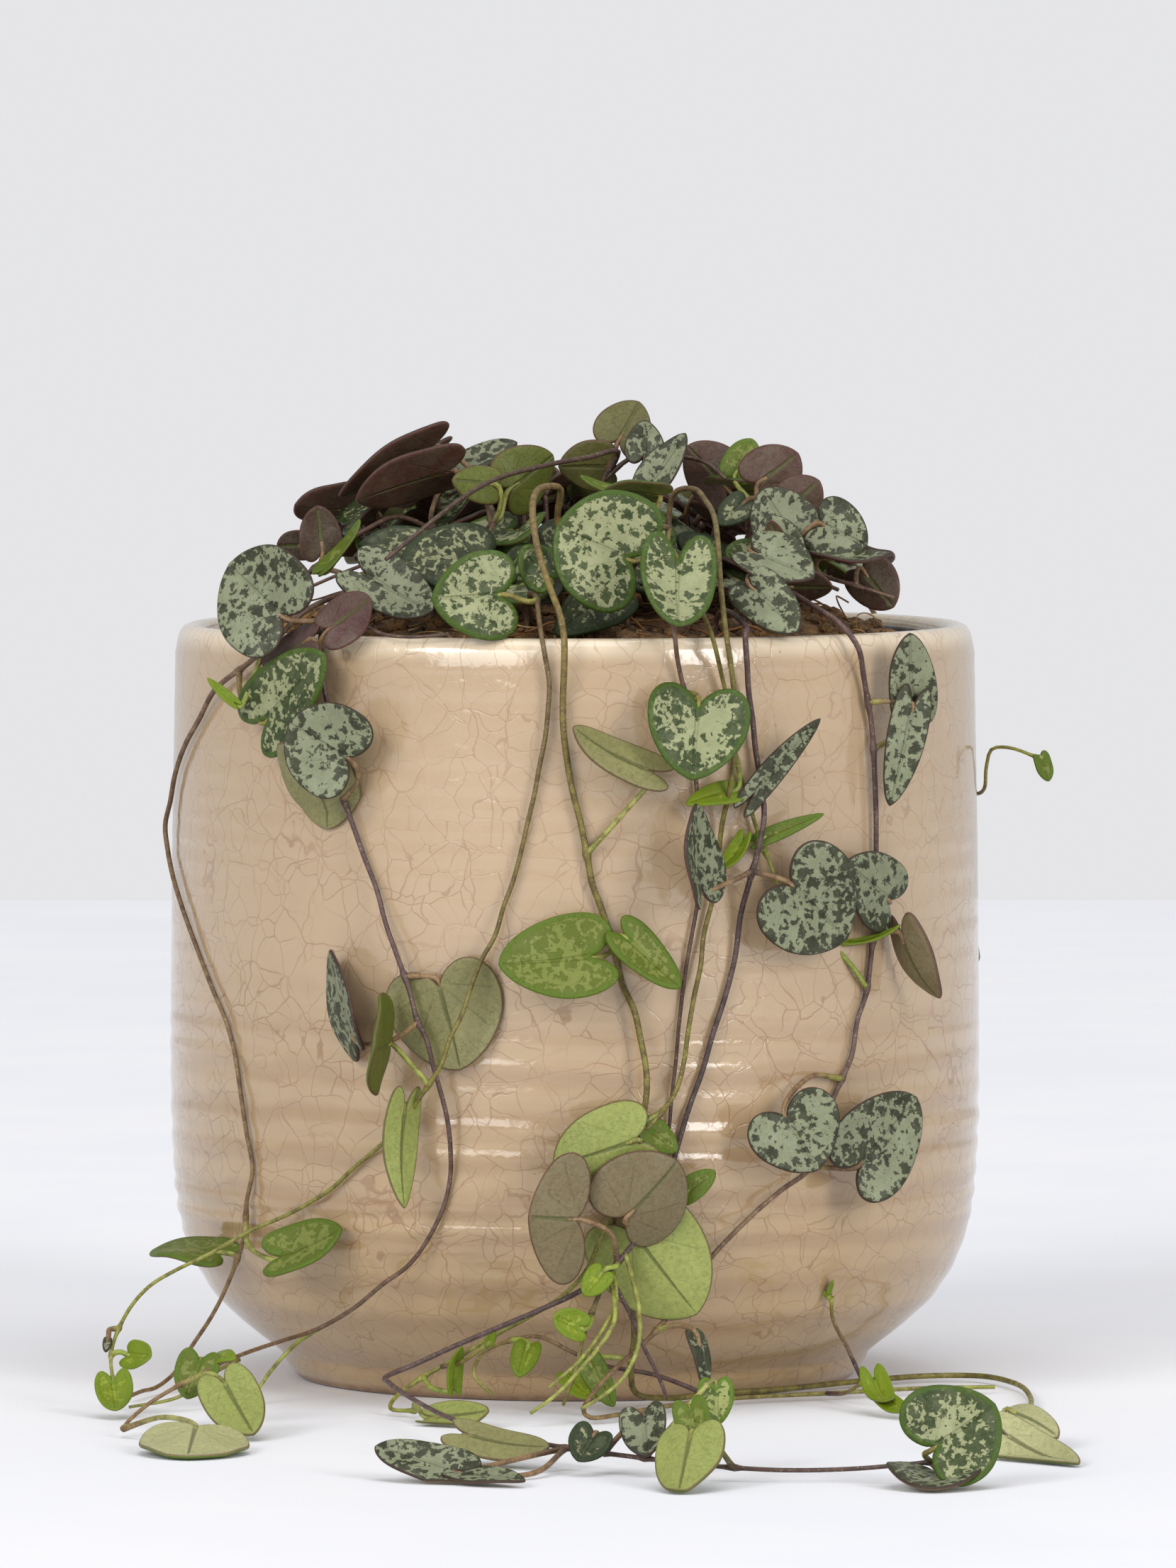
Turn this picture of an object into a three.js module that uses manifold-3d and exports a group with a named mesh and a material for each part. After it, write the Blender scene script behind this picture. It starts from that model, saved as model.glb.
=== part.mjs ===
// String of hearts (Ceropegia woodii) trailing over a crackle-glazed stoneware pot.
// Millimetres, +Z up. The origin is the middle of the pot's flat base; the front faces -Y.
import * as THREE from 'three';
import { mergeVertices } from 'three/addons/utils/BufferGeometryUtils.js';
import Module from 'manifold-3d';

// ---------------------------------------------------------------- driving dimensions
const POT_RADIUS = 70;            // widest part of the bowl
const POT_HEIGHT = 131;           // flat base to the top of the rim
const FOOT_RADIUS = 48.4;         // flat unglazed base
const POT_WALL = 4.4;
const POT_FLOOR = 6;
const GROW_POT_RIM = 61;          // outer radius of the plastic pot's rim
const GROW_POT_BASE = 44;
const GROW_POT_TOP = 129.5;
const GROW_POT_WALL = 1.2;
const SOIL_EDGE = 128.2;          // height of the soil where it meets the plastic
const SOIL_MIDDLE = 136.4;
const SHOULDER = 22;              // below this height the bowl curves in to its foot
const GAP = 0.3;                  // air between pieces that touch

const STEM_RADIUS = 0.7;
const BRANCH_RADIUS = 0.6;
const PETIOLE_RADIUS = 0.5;
const LONG_PETIOLE = 8;           // a petiole longer than this bends in three pieces
const STUB_LENGTH = 1.2;
const BLADE_THICKNESS = 0.9;
const BLADE_FOLD = 0.16;          // rise of the blade's edge per millimetre away from its midrib
const HOLE_CLEARANCE = 0.5;       // a root hole is this much wider than its stem
const BURIED_END = 126;           // height of a stem's lower end, inside its hole

const POT_SEGMENTS = 36;
const SOIL_SEGMENTS = 28;
const STEM_SIDES = 4;
const STEM_STEP = 8.1;            // length of one straight piece of a stem

// Outside of the pot, from the base up: radius, height. A low foot flares into a round shoulder.
const POT_OUTSIDE = [
  [FOOT_RADIUS, 0], [50.3, 2.4], [51.6, 5], [58.6, 10.6], [62.8, 14.8], [66.2, 20.4],
  [68.6, 27.5], [POT_RADIUS, 42], [POT_RADIUS, 84], [69.3, 126], [68.6, 129.6], [67, POT_HEIGHT],
];

// Stems that hang where the front doesn't show them: bearing about the axis from +X, and the drop.
const HANG_STEP = 9;
const HANGING = {
  stem_side_right: { bearing: 41, drop: 72, seed: 11 },
  stem_back: { bearing: 82, drop: 99, seed: 23 },
  stem_side_left: { bearing: 143, drop: 63, seed: 37 },
};
const CROWN_BEHIND = { leafCount: 8, seed: 5 };
// A young shoot that leaves the right-hand stem and comes round the pot into sight.
const STRAY_SHOOT = [[54.5, 47, 103], [59, 41, 103], [62.5, 34.5, 102], [65.5, 28, 102], [69.5, 14, 100.5],
  [71.4, 5, 102], [71.6, 1, 106], [72.5, 0, 109], [75.5, -1, 109.3], [80.5, -2, 107.6]];

const COLOURS = {
  glaze: [0xc8b296, 0.25],
  plastic: [0x2a2622, 0.6],
  soil: [0x4a3524, 0.95],
  leaf: [0x86997a, 0.5],
};

// ---------------------------------------------------------------- where the plant grows
// A stem is a list of points from its root hole outwards. A branch is a further list that starts on
// the stem. A leaf is its base (the notch), its tip, its width and the way its upper side looks.
const PLANT = {
  stem_left_outer: {
    stems: [
      [[-24, -36, 126], [-25, -36.5, 137], [-31, -40, 139.5], [-40, -44.5, 137.5], [-46, -49.5, 134.8],
        [-50.5, -51.5, 130.5], [-55.5, -45.5, 126], [-61.5, -36, 121], [-64.5, -29, 115.5],
        [-67, -23, 111], [-69, -16, 105.5], [-70, -11.5, 100.5], [-71, -8, 96], [-70.5, -9.5, 92],
        [-69.5, -15, 88], [-67.5, -22.5, 82.5], [-65, -28.5, 76.5], [-62, -35, 69.5],
        [-59.5, -39, 64], [-58, -41, 58.5], [-57, -43, 52], [-56, -44, 45.5], [-55, -44.5, 39.5],
        [-56, -44, 34], [-56.5, -43, 28], [-58, -41.5, 23], [-60, -39, 18], [-62.5, -34, 13],
        [-66, -29.5, 7.5], [-68.5, -30.5, 3.6], [-71.5, -36, 1.4], [-74, -43, 1.3], [-75.5, -50, 1.3]],
    ],
    leaves: [
      [[-52.2, -52.5, 116.7], [-42.4, -63, 128.3], 14, [-4, -7, 1]],
      [[-61.5, -38, 24.7], [-72.8, -29, 25], 13, [0, -3, 9]],
      [[-49.6, -56, 25.4], [-38.8, -60, 29.9], 11, [-2, -6, 6]],
    ],
  },
  stem_left_inner: {
    stems: [
      [[-37, -37, 126], [-37.5, -38, 134.5], [-40, -43, 135], [-42.5, -50, 133.2], [-43, -56, 131],
        [-43, -56.5, 126], [-42, -57, 120], [-40.5, -58, 113.5], [-40, -58.5, 106.5],
        [-39, -59.5, 103], [-37.5, -60.5, 99], [-35.5, -61.5, 93.5], [-33.5, -63.2, 88.5],
        [-32, -65.2, 83], [-30, -67.5, 77.5], [-28, -68.8, 72], [-26.5, -69.8, 66.5],
        [-25, -70.3, 63.5], [-24, -70.6, 59.5], [-23, -70.7, 56], [-21.5, -70.3, 50], [-21, -69.3, 45],
        [-21, -68, 40.5], [-22, -67, 35.5], [-24.5, -66.5, 30], [-28, -65, 25], [-32.5, -63, 21.5],
        [-37.5, -58.5, 17], [-43.5, -55, 13.2], [-49.2, -63, 12], [-54.8, -74, 11.1],
        [-58.9, -84, 10.3], [-61.7, -90, 9.3], [-66.2, -96, 7.5], [-70.7, -100, 5.1],
        [-74.1, -104, 2.5], [-74.9, -107, 1.5]],
    ],
    leaves: [
      [[-45, -57, 130.1], [-53, -49.5, 126.1], 9, [6, 6, -4]],
      [[-41, -59, 132.5], [-34, -62, 137.5], 9, [-2, 7, -5]],
      [[-38.7, -66, 111], [-48.1, -64, 116.8], 16.5, [-4, -7, 1]],
      [[-44.8, -61, 109.8], [-40.6, -55, 98.1], 16, [4, 6, 1]],
      [[-37.4, -65, 64], [-41.9, -61, 78], 14, [-9, -2, 0]],
      [[-22.8, -67.9, 72.3], [-19, -69, 58.3], 20.3, [2, 7, 0]],
      [[-62.8, -88, 10.6], [-64.8, -93, 4.7], 7.5, [-1, -8, 3]],
      [[-62.2, -130, 4], [-63.1, -144, 0.6], 18.2, [0, 5, -6]],
      [[-58.1, -103, 8.3], [-52.9, -114, 0.7], 10, [0, 7, -3]],
    ],
  },
  stem_left_middle: {
    stems: [
      [[-8, -47, 126], [-8, -47.5, 135], [-7.5, -54, 138], [-6.5, -61, 137.5], [-6, -67.5, 134],
        [-5.5, -71, 131], [-4.8, -70.7, 127], [-4.3, -70.7, 123.5], [-4.5, -70.7, 119.5],
        [-5, -70.7, 114.5], [-6, -70.7, 109.5], [-6.8, -70.7, 105], [-8, -70.5, 100],
        [-9, -70.5, 95.5], [-10.5, -70.5, 90], [-12, -70.6, 86], [-13.5, -71.5, 81], [-15.5, -72.2, 77.5],
        [-17.5, -73, 72.5], [-19, -73.8, 68], [-21, -74.2, 64], [-22.5, -74.2, 59.5],
        [-26, -72.3, 54], [-28.5, -68.5, 50], [-33.5, -63, 44.5], [-37.5, -60.5, 41],
        [-41, -58, 37.5], [-44.5, -55.5, 35], [-49.5, -51.5, 32], [-55, -49.5, 29.5],
        [-62.5, -45.5, 25], [-68.4, -44, 22], [-72.3, -46, 19.8], [-75.3, -50, 16.9],
        [-77.4, -55, 13.4], [-78.4, -60, 10.6], [-78.5, -65, 8.4], [-78, -70, 6.1]],
    ],
    leaves: [
      [[-12.7, -65.5, 138.3], [-24, -69.5, 137.8], 15.5, [0, -9, 1]],
      [[-4.5, -56, 141], [-9, -55, 146], 8, [0, -8, 3]],
      [[-5.4, -48, 140.2], [-4.5, -51, 136.1], 7, [1, -6, 4]],
      [[-31.4, -70, 62.7], [-33.8, -80, 62.5], 17.5, [-7, 3, 1]],
      [[-29, -71.5, 51.6], [-29.8, -72.5, 35.2], 7.5, [-5, 7, 0]],
      [[-77.8, -72, 5.5], [-77, -79, 0.8], 6.5, [0, -7, 4]],
      [[-75.2, -62, 9.3], [-71.5, -66, 9.3], 5.5, [0, -7, 3]],
    ],
  },
  stem_front_hook: {
    stems: [
      [[-2, -22, 126], [-2, -22, 140], [-3, -24, 150], [-2.5, -28, 155], [-5.5, -34, 155.5],
        [-7, -42, 154], [-7, -52, 149.5], [-5.8, -60, 144], [-4, -65.5, 139], [-2.5, -69.5, 135],
        [-1.8, -72.5, 131], [-1.8, -72, 126.5], [-2, -71, 121.5], [-2, -71, 117], [-1.5, -71, 112],
        [-0.5, -71, 106], [1, -71, 100], [2, -71, 95], [3, -71, 89.5], [4, -71, 87], [6, -71, 81],
        [7, -71, 77.5], [8, -71, 73], [10, -72, 68.5], [11, -72, 64], [12, -73, 58.5],
        [12, -73.5, 54], [11, -73, 49], [9, -72.5, 43], [7, -71.8, 37], [6.5, -71.5, 31],
        [8, -70.5, 25], [9.5, -69, 19], [10, -67.5, 13.5], [9.5, -66.5, 8], [10, -64, 3.5],
        [15.5, -54, 1.2], [24, -46, 1.2], [35, -39, 1.2], [46, -28, 1.2], [54, -20.5, 1.2],
        [62, -15.5, 1.2], [70, -16, 1.2], [75.5, -28, 1.2], [77.5, -52, 1.2], [76, -80, 1.2],
        [73, -104, 1.2], [70.5, -122, 2.5]],
    ],
    leaves: [
      [[12, -73.5, 108.9], [-1.4, -77.5, 115.8], 7.5, [1, 7, -5]],
      [[2.5, -75, 77.6], [-13, -77.5, 76.2], 15, [-1, -7, 3]],
      [[8.7, -74, 80.7], [17.6, -75, 72.3], 8, [2, -6, 3]],
      [[2.7, -71.5, 8.7], [6.5, -75, 1.9], 5, [-3, -7, 2]],
      [[70.9, -140, 3.1], [82.5, -153, -1.5], 9, [1, 5, -5]],
      [[71.8, -120, 5.6], [79, -129, 3.4], 8, [0, 6, -6]],
    ],
  },
  stem_front_thin: {
    stems: [
      [[9, -44, 126], [9, -45, 137], [10, -49, 142.5], [11.7, -53, 143.8], [13.7, -59, 140.8],
        [15.7, -66, 136.5], [16.8, -71, 131.5], [17.2, -69.5, 128], [18, -68.5, 124],
        [19, -68.3, 120], [19.5, -68, 116], [20, -68, 111.5], [20.5, -67.8, 106], [21, -67.7, 101],
        [21, -67.8, 96.5], [21, -68, 91], [20.5, -68, 85.5], [19.5, -68.5, 80], [18.5, -68.5, 74],
        [17.5, -69, 65.5], [17, -69, 59.5], [16.3, -69.5, 53.5], [15.8, -69.5, 47.5],
        [15.2, -69.7, 43]],
    ],
    leaves: [
      [[6.5, -50, 137.8], [-3.1, -56, 131.8], 10, [1, -7, 4]],
      [[20.7, -72.5, 119.6], [19.5, -78, 107.4], 17.6, [1, -9, 1]],
    ],
  },
  stem_right_short: {
    stems: [
      [[17, -38, 126], [16.5, -38, 136], [13.5, -42, 140.5], [13, -47, 141.7], [16, -52, 141],
        [20, -59.5, 137.5], [22.2, -66, 133.8], [23.3, -70, 130.8], [24.7, -67, 125],
        [25.5, -66.3, 121.5], [26.5, -65.8, 116.5], [27, -65.7, 112], [28, -65.2, 107.5],
        [28.8, -65, 105.5], [30, -64.5, 101], [31.5, -64.5, 96.5], [33.5, -64.5, 91.5],
        [35, -65, 87.5]],
    ],
    leaves: [
      [[17, -45, 141.5], [15.5, -49, 134.5], 10, [0, -8, 1]],
    ],
  },
  stem_right_arch: {
    stems: [
      [[16, -20, 126], [16, -20, 145], [17, -22, 154], [20.5, -27, 155], [22.5, -33, 153],
        [23.7, -44, 150.8], [24.2, -54, 147], [24.5, -62, 141.5], [24.9, -68, 136.5], [25.5, -71.5, 131.5],
        [26.2, -70, 127], [26.8, -69.3, 122], [27, -70, 116.5], [26.8, -71, 111], [26, -70.5, 105.5],
        [24.7, -67.5, 99], [24, -67.5, 92], [23.2, -67.8, 87], [21.7, -68, 81], [21.2, -69.5, 76],
        [20, -71, 70.5], [19, -71.7, 64.5], [18.3, -71.8, 59.5], [17, -72.5, 55], [14.5, -75, 51.5],
        [11, -76.5, 47.5], [9, -76.5, 42.5], [7, -76.5, 36.5], [4.5, -75.5, 31], [2, -74.5, 25],
        [-2, -73, 20.5], [-7.5, -70.5, 16.8], [-13.5, -68, 13.3], [-19.5, -66, 9.5],
        [-25.5, -65, 6], [-30, -67, 3], [-31, -72, 1.2], [-27, -75, 1.2]],
      [[-22.5, -65.5, 7.7], [-19, -70, 9], [-15, -72, 12]],
    ],
    leaves: [
      [[9.7, -79, 47], [-3.7, -78, 42.6], 14.5, [-1, 8, 0]],
      [[12.4, -76, 48.7], [17.2, -74, 45], 5.5, [0, -7, 4]],
      [[-23.6, -88, 1.3], [-14.1, -94, 2.8], 7, [0, 6, -5]],
    ],
  },
  stem_right_dark: {
    stems: [
      [[24, -45, 126], [24, -44.7, 133], [25.5, -50, 135], [28.5, -58, 133.3],
        [29, -63.5, 132.4], [28.7, -67, 131.7], [29, -67, 127], [29.3, -65.5, 122],
        [30, -65, 117], [30.5, -64.5, 112], [31.4, -65.5, 106.5], [31.9, -67.5, 101],
        [31, -68.7, 96], [29.7, -68.5, 91], [28, -66.5, 84.5], [27, -66, 77], [25.2, -66.5, 70],
        [23.2, -67.5, 64], [21.5, -68, 58], [19.3, -68.7, 52], [17.5, -69.2, 46], [16, -70, 41],
        [14, -72, 36.5], [11.5, -75.5, 32], [8.5, -77.5, 28], [5.5, -78, 24.8], [0.5, -78, 21.5],
        [-6, -78, 18.5], [-13, -78, 15.5], [-20.5, -77, 12.2], [-27, -77, 9.2], [-31.5, -80, 7.6],
        [-31, -90, 7.4], [-27, -106, 6.4], [-21, -124, 5.2], [-12.5, -142, 4.2], [-1.5, -157, 3.6],
        [10, -166, 3], [21.5, -173, 2.4], [33, -176, 2], [44.5, -176, 2.2], [57, -179, 3.6]],
      [[5.5, -78, 24.8], [3.5, -80.5, 20], [1.5, -82, 14.5], [0, -83, 8.5], [-2, -84, 3]],
      [[5.5, -78, 24.8], [9, -79, 18.5], [11.5, -79.5, 12.5], [14, -79, 7.5], [15.5, -77.5, 3.5]],
      [[5.5, -78, 24.8], [6.5, -82, 21], [6.5, -85, 17], [3.5, -87, 12.5], [0, -88, 8.5],
        [-3.5, -88.5, 5], [-7.5, -89, 2.2]],
    ],
    leaves: [
      [[20.7, -77, 90], [19.5, -78, 103.8], 14, [9, -4, 0]],
      [[36.7, -67, 89.2], [46, -60.5, 79.8], 19.7, [2, -8, 1]],
      [[0.1, -83, 34.2], [-7.9, -84, 34.8], 22.5, [2, 7, 0]],
      [[9.1, -80, 34.7], [17.5, -79.5, 43.7], 17, [-2, 7, 1]],
      [[9.8, -75, 31.2], [20.6, -74, 17.2], 19.5, [-1, 7, 2]],
      [[-19.4, -177, 1.9], [-32.2, -172, 5.2], 9, [0, -5, 6]],
      [[-17.1, -150, 4.5], [-3.8, -158, 2.7], 8, [0, 5, -6]],
      [[3, -165, 6.3], [0.4, -168, 2.3], 7, [0, -6, 4]],
      [[11.1, -163, 9.1], [11.7, -169, 3.1], 8, [-2, -7, 3]],
      [[18.5, -184, 8.3], [16.5, -195, 0.2], 11.5, [2, 6, -2]],
      [[22.7, -161, 13.9], [22.9, -163, 7.8], 6, [0, -6, 1]],
      [[57.7, -184, 6.6], [67.2, -181, 13], 17.9, [1, -7, 3]],
      [[57.9, -182, 1.9], [56.4, -193, 0.4], 16, [0, -2, 9]],
    ],
  },
  stem_right_outer: {
    stems: [
      [[30, -37, 126], [30, -37.5, 135], [32.5, -41, 138.8], [36, -45, 138.3], [41, -49, 135.5],
        [45, -52.5, 132.9], [48, -54, 129], [49, -51.5, 124], [49.7, -50.7, 120],
        [50.3, -50, 116.5], [50.7, -49.8, 112], [51, -49.6, 106], [51.2, -49.5, 100],
        [51.2, -49.5, 93.5], [51.2, -49.7, 87], [51, -50, 82], [50.5, -50, 77.5], [49.5, -51, 70],
        [48, -52.5, 65.5], [47, -53.5, 59.5], [45, -55, 55], [43.5, -56.5, 51.5], [43, -57, 47],
        [42, -57.5, 43], [39, -60, 40], [35, -63, 37.5], [29.5, -65.7, 33], [22.5, -69, 26],
        [18.5, -70.5, 20.5], [15, -72.3, 16], [11.5, -75, 12.5], [6, -79.5, 8], [1.5, -82.5, 2.5],
        [2.5, -86, 1.2], [7, -82, 1.2], [12, -73, 1.2], [18, -64, 1.2], [24, -56.5, 1.2],
        [32, -51, 1.2], [43, -46, 1.2], [50, -42, 1.2], [60, -37, 1.2], [72, -35, 1.2]],
      [[50, -42, 1.2], [48.5, -44, 4.5], [46.5, -46, 9], [44, -48, 14], [43, -49, 18]],
      [[43, -46, 1.2], [46, -55, 2.2], [48.8, -61.5, 4.6]],
      [[24, -56.5, 1.2], [18, -58, 4], [13, -61, 6], [4, -64, 8], [-1, -66, 10.5], [-6.5, -67, 13],
        [-12, -67.5, 12], [-16, -70.5, 10], [-17, -73, 7], [-14, -75, 4]],
    ],
    leaves: [
      [[57.2, -47.5, 118.8], [56.5, -50.5, 131.5], 9, [3, -8, 1]],
      [[57.2, -50.5, 118], [53.5, -52, 101.9], 7, [2, -8, 1]],
      [[53.1, -50.5, 86], [46.1, -59, 92.5], 13, [4, -7, 1]],
      [[55.4, -50.5, 79.6], [61.1, -48.5, 68.1], 9, [6, 5, 1]],
      [[35.7, -68, 50.2], [40.9, -69, 41.2], 16.5, [2, -8, 1]],
      [[48.4, -59.4, 41.8], [58.2, -51, 52.4], 16, [3, -8, 0]],
      [[20.7, -77.3, 13.3], [22.5, -79.2, 5.2], 4.5, [6, -6, 0]],
      [[50.7, -66, 4.9], [52.8, -76, 1], 5, [0, -6, 5]],
    ],
  },
  crown_left: {
    stems: [
      [[-20, -12, 126], [-20, -12, 134], [-20, -12, 141], [-24, -16, 147], [-30, -20, 150], [-36, -28, 148],
        [-42, -34, 144], [-46, -38, 140.5], [-49.5, -41, 137.5]],
      [[-20, -12, 140], [-16, -20, 147], [-14, -26, 149], [-16, -34, 146], [-20, -38, 142.5],
        [-27, -44, 140.5], [-33, -47, 140], [-37, -53, 137.5], [-37, -58, 134], [-32.5, -62, 131.6],
        [-27, -64.8, 131.2], [-21, -66.3, 131.8]],
    ],
    leaves: [
      [[-49.8, -56, 134.7], [-58.6, -48, 142.9], 19, [-5, -8, 2]],
      [[-43.2, -36, 145], [-44, -36, 152.5], 7.5, [-1, 8, -1]],
      [[-46, -31, 145.5], [-51, -29, 145.5], 6, [0, 7, 3]],
      [[-41.8, -40.5, 142], [-35.8, -39, 149.5], 6, [-7, -3, 6]],
      [[-25.1, -14, 161.7], [-40.5, -16, 153.1], 14, [-5, 4, 8]],
      [[-22.7, -20, 157.9], [-37.9, -23, 153.4], 14, [-1, 6, 7]],
      [[-21, -6, 157], [-10.5, -5, 163.5], 9, [-3, -5, 7]],
      [[-14.3, -27, 155.7], [-21.1, -28, 156.7], 7, [1, 7, -2]],
      [[-10.7, -21, 155.2], [-3.7, -17, 160.7], 12, [0, 7, 3]],
      [[-25.5, -38, 145.5], [-37, -39, 146], 10, [-1, -5, 7]],
      [[-16.2, -43, 143.5], [-29.7, -47, 143.5], 16, [0, -7, 6]],
      [[-35.3, -49.5, 140.8], [-23.8, -56, 134.3], 11, [-3, -6, 6]],
    ],
  },
  crown_centre: {
    stems: [
      [[3, -10, 126], [3, -10, 145], [5, -10, 156], [7.5, -12, 161], [2.3, -18, 160.2],
        [-3.8, -25, 159.3], [-13.4, -35.5, 157], [-19.4, -43.5, 153.8], [-25.4, -52, 149.3],
        [-32, -57.5, 144]],
      [[5, -10, 156], [10, -11, 160], [18.2, -12, 160.2], [23, -15, 159], [26, -18, 156.5]],
      [[3, -10, 145], [6, -20, 150], [9, -30, 150.5], [11, -37, 149.5], [13.5, -43, 149],
        [16, -47, 149]],
    ],
    leaves: [
      [[7.7, -7, 163], [11.2, -4, 169.5], 10.5, [-1, 8, -1]],
      [[5.1, -8.5, 158.5], [-2.9, -8, 158.5], 10, [0, 7, 3]],
      [[12, -14, 160.5], [12, -13, 166.5], 7, [0, -8, 1]],
      [[13.4, -18, 156.1], [19.4, -17, 164.1], 7, [-3, -6, 2]],
      [[8.9, -57, 144.2], [-3.2, -57, 149.7], 21, [0, -9, 1]],
      [[13.5, -38, 154.7], [5, -42, 155.9], 8, [0, 4, 8]],
      [[17.2, -66, 143.6], [17.1, -78, 131.9], 13, [1, -8, 2]],
    ],
  },
  crown_right: {
    stems: [
      [[30, -8, 126], [30, -8, 140], [30, -14, 149], [31, -20, 152.5]],
      [[30, -8, 140], [34, -22, 143.5], [36, -30, 143.5], [38, -37, 142.5], [38.5, -42, 141.5]],
      [[36, -30, 143.5], [42, -33, 140.5], [49, -36, 138.5], [54.5, -38, 136.8]],
    ],
    leaves: [
      [[26, -10, 155], [19.5, -7, 162], 11, [0, 8, 2]],
      [[28, -14, 157.5], [30.5, -12, 163.5], 7, [-1, -7, 4]],
      [[32, -20, 156], [38.5, -20, 161], 11, [0, 8, -1]],
      [[37.5, -26, 152.5], [42, -26, 156.5], 8.5, [0, 8, -1]],
      [[37, -33, 147.2], [32, -31, 155.2], 12, [0, -8, 2]],
      [[42.5, -36, 149], [50, -36, 145.5], 11.5, [1, -8, 2]],
      [[35, -42, 144.5], [33, -40.5, 151], 9, [0, -6, 4]],
      [[31, -50, 144.5], [40.5, -54, 140.5], 13, [-1, -5, 8]],
      [[36, -42, 139], [44, -43, 139], 8, [0, 6, 5]],
      [[30.1, -57, 139.1], [37.6, -61, 132.1], 9.5, [-3, -6, 6]],
      [[43, -38, 143.5], [54, -40, 143], 8, [0, -2, 9]],
      [[49.5, -34, 141], [54.5, -35.5, 135], 9, [2, 8, 0]],
      [[29, -26, 152.5], [24.8, -30, 149], 6, [0, -6, 4]],
    ],
  },
};

// ---------------------------------------------------------------- the solid library
const wasm = await Module();
wasm.setup();

function toSolid(geometry) {
  geometry.deleteAttribute('normal');
  geometry.deleteAttribute('uv');
  const merged = mergeVertices(geometry, 1e-4);
  return new wasm.Manifold(new wasm.Mesh({
    numProp: 3,
    vertProperties: merged.attributes.position.array,
    triVerts: new Uint32Array(merged.index.array),
  }));
}

function toGeometry(solid) {
  const mesh = solid.getMesh();
  const geometry = new THREE.BufferGeometry();
  geometry.setAttribute('position', new THREE.BufferAttribute(mesh.vertProperties, 3));
  geometry.setIndex(new THREE.BufferAttribute(mesh.triVerts, 1));
  return geometry;
}

function named(name, geometry, look) {
  const [color, roughness] = COLOURS[look];
  const mesh = new THREE.Mesh(geometry, new THREE.MeshStandardMaterial({ color, roughness, metalness: 0 }));
  mesh.name = name;
  return mesh;
}

function turned(profile, segments) {
  const points = profile.map(([radius, height]) => new THREE.Vector2(radius, height));
  const geometry = new THREE.LatheGeometry(points, segments);
  geometry.rotateX(Math.PI / 2);
  return geometry;
}

// ---------------------------------------------------------------- clear of the pot and the surface
function between(profile, height) {
  for (let i = 1; i < profile.length; i += 1) {
    const [r0, z0] = profile[i - 1];
    const [r1, z1] = profile[i];
    if (height <= z1) {
      return r0 + (r1 - r0) * Math.max(0, (height - z0) / (z1 - z0));
    }
  }
  return profile[profile.length - 1][0];
}

function soilTop(radius) {
  const share = Math.min(1, radius / SOIL_RADIUS);
  return SOIL_MIDDLE - (SOIL_MIDDLE - SOIL_EDGE) * share ** 4;
}

// Moves a point that is `reach` thick clear of the glazed wall, the rim, the soil and the surface.
function clear(point, reach) {
  const radius = Math.hypot(point.x, point.y);
  const rimMiddle = POT_RADIUS - POT_WALL / 2 - 0.5;
  const belowRim = point.z < GROW_POT_TOP - 6;
  if (belowRim || (radius > rimMiddle && point.z < POT_HEIGHT)) {
    const slope = point.z < SHOULDER ? 1.4 : 1;
    const least = between(POT_OUTSIDE, point.z) + (reach + GAP) * slope;
    if (radius < least) {
      point.x *= least / radius;
      point.y *= least / radius;
    }
  } else if (radius > SOIL_RADIUS && radius <= rimMiddle) {
    point.z = Math.max(point.z, POT_HEIGHT + reach + GAP);
  } else if (radius <= SOIL_RADIUS) {
    point.z = Math.max(point.z, soilTop(radius) + reach + GAP);
  }
  point.z = Math.max(point.z, reach + GAP);
  return point;
}

// ---------------------------------------------------------------- the sides that trail behind
function draw(seed) {
  let state = seed;
  return (low, high) => {
    state = (state * 1664525 + 1013904223) % 4294967296;
    return low + ((high - low) * state) / 4294967296;
  };
}

function around(angle, radius, height) {
  return [radius * Math.cos(angle), radius * Math.sin(angle), height];
}

// A stem that comes over the rim at an angle about the pot's axis and hangs down the glaze, with a
// pair of leaves at every fourth point.
function hangingStem({ bearing, drop, seed }) {
  const random = draw(seed);
  const start = (bearing * Math.PI) / 180;
  const route = [[47, BURIED_END], [47.5, 136], [54, 139], [61.5, 137.5], [67.5, 133.8], [71.3, 129]]
    .map(([radius, height]) => around(start, radius, height));
  const leaves = [];
  const phase = random(0, 6);
  const count = Math.round(drop / HANG_STEP);
  for (let i = 1; i <= count; i += 1) {
    const height = 129 - i * HANG_STEP;
    const angle = start + 0.13 * (Math.sin(phase + i * 0.45) - Math.sin(phase));
    route.push(around(angle, between(POT_OUTSIDE, height) + 1.4, height));
    if (i % 4 === 2) {
      const size = random(0.85, 1.1) * (16 - (7 * i) / count);
      for (const side of [-1, 1]) {
        const turn = angle + (side * size * 0.45) / POT_RADIUS;
        const lean = random(0.1, 0.5) * size;
        const base = around(turn, POT_RADIUS + 3.2, height + random(-1, 3));
        const out = around(turn + (side * size * 0.62) / POT_RADIUS, POT_RADIUS + 5, base[2] - lean);
        leaves.push([base, out, size, [Math.cos(turn) * 8, Math.sin(turn) * 8, 2]]);
      }
    }
  }
  return { stems: [route], leaves };
}

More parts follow.
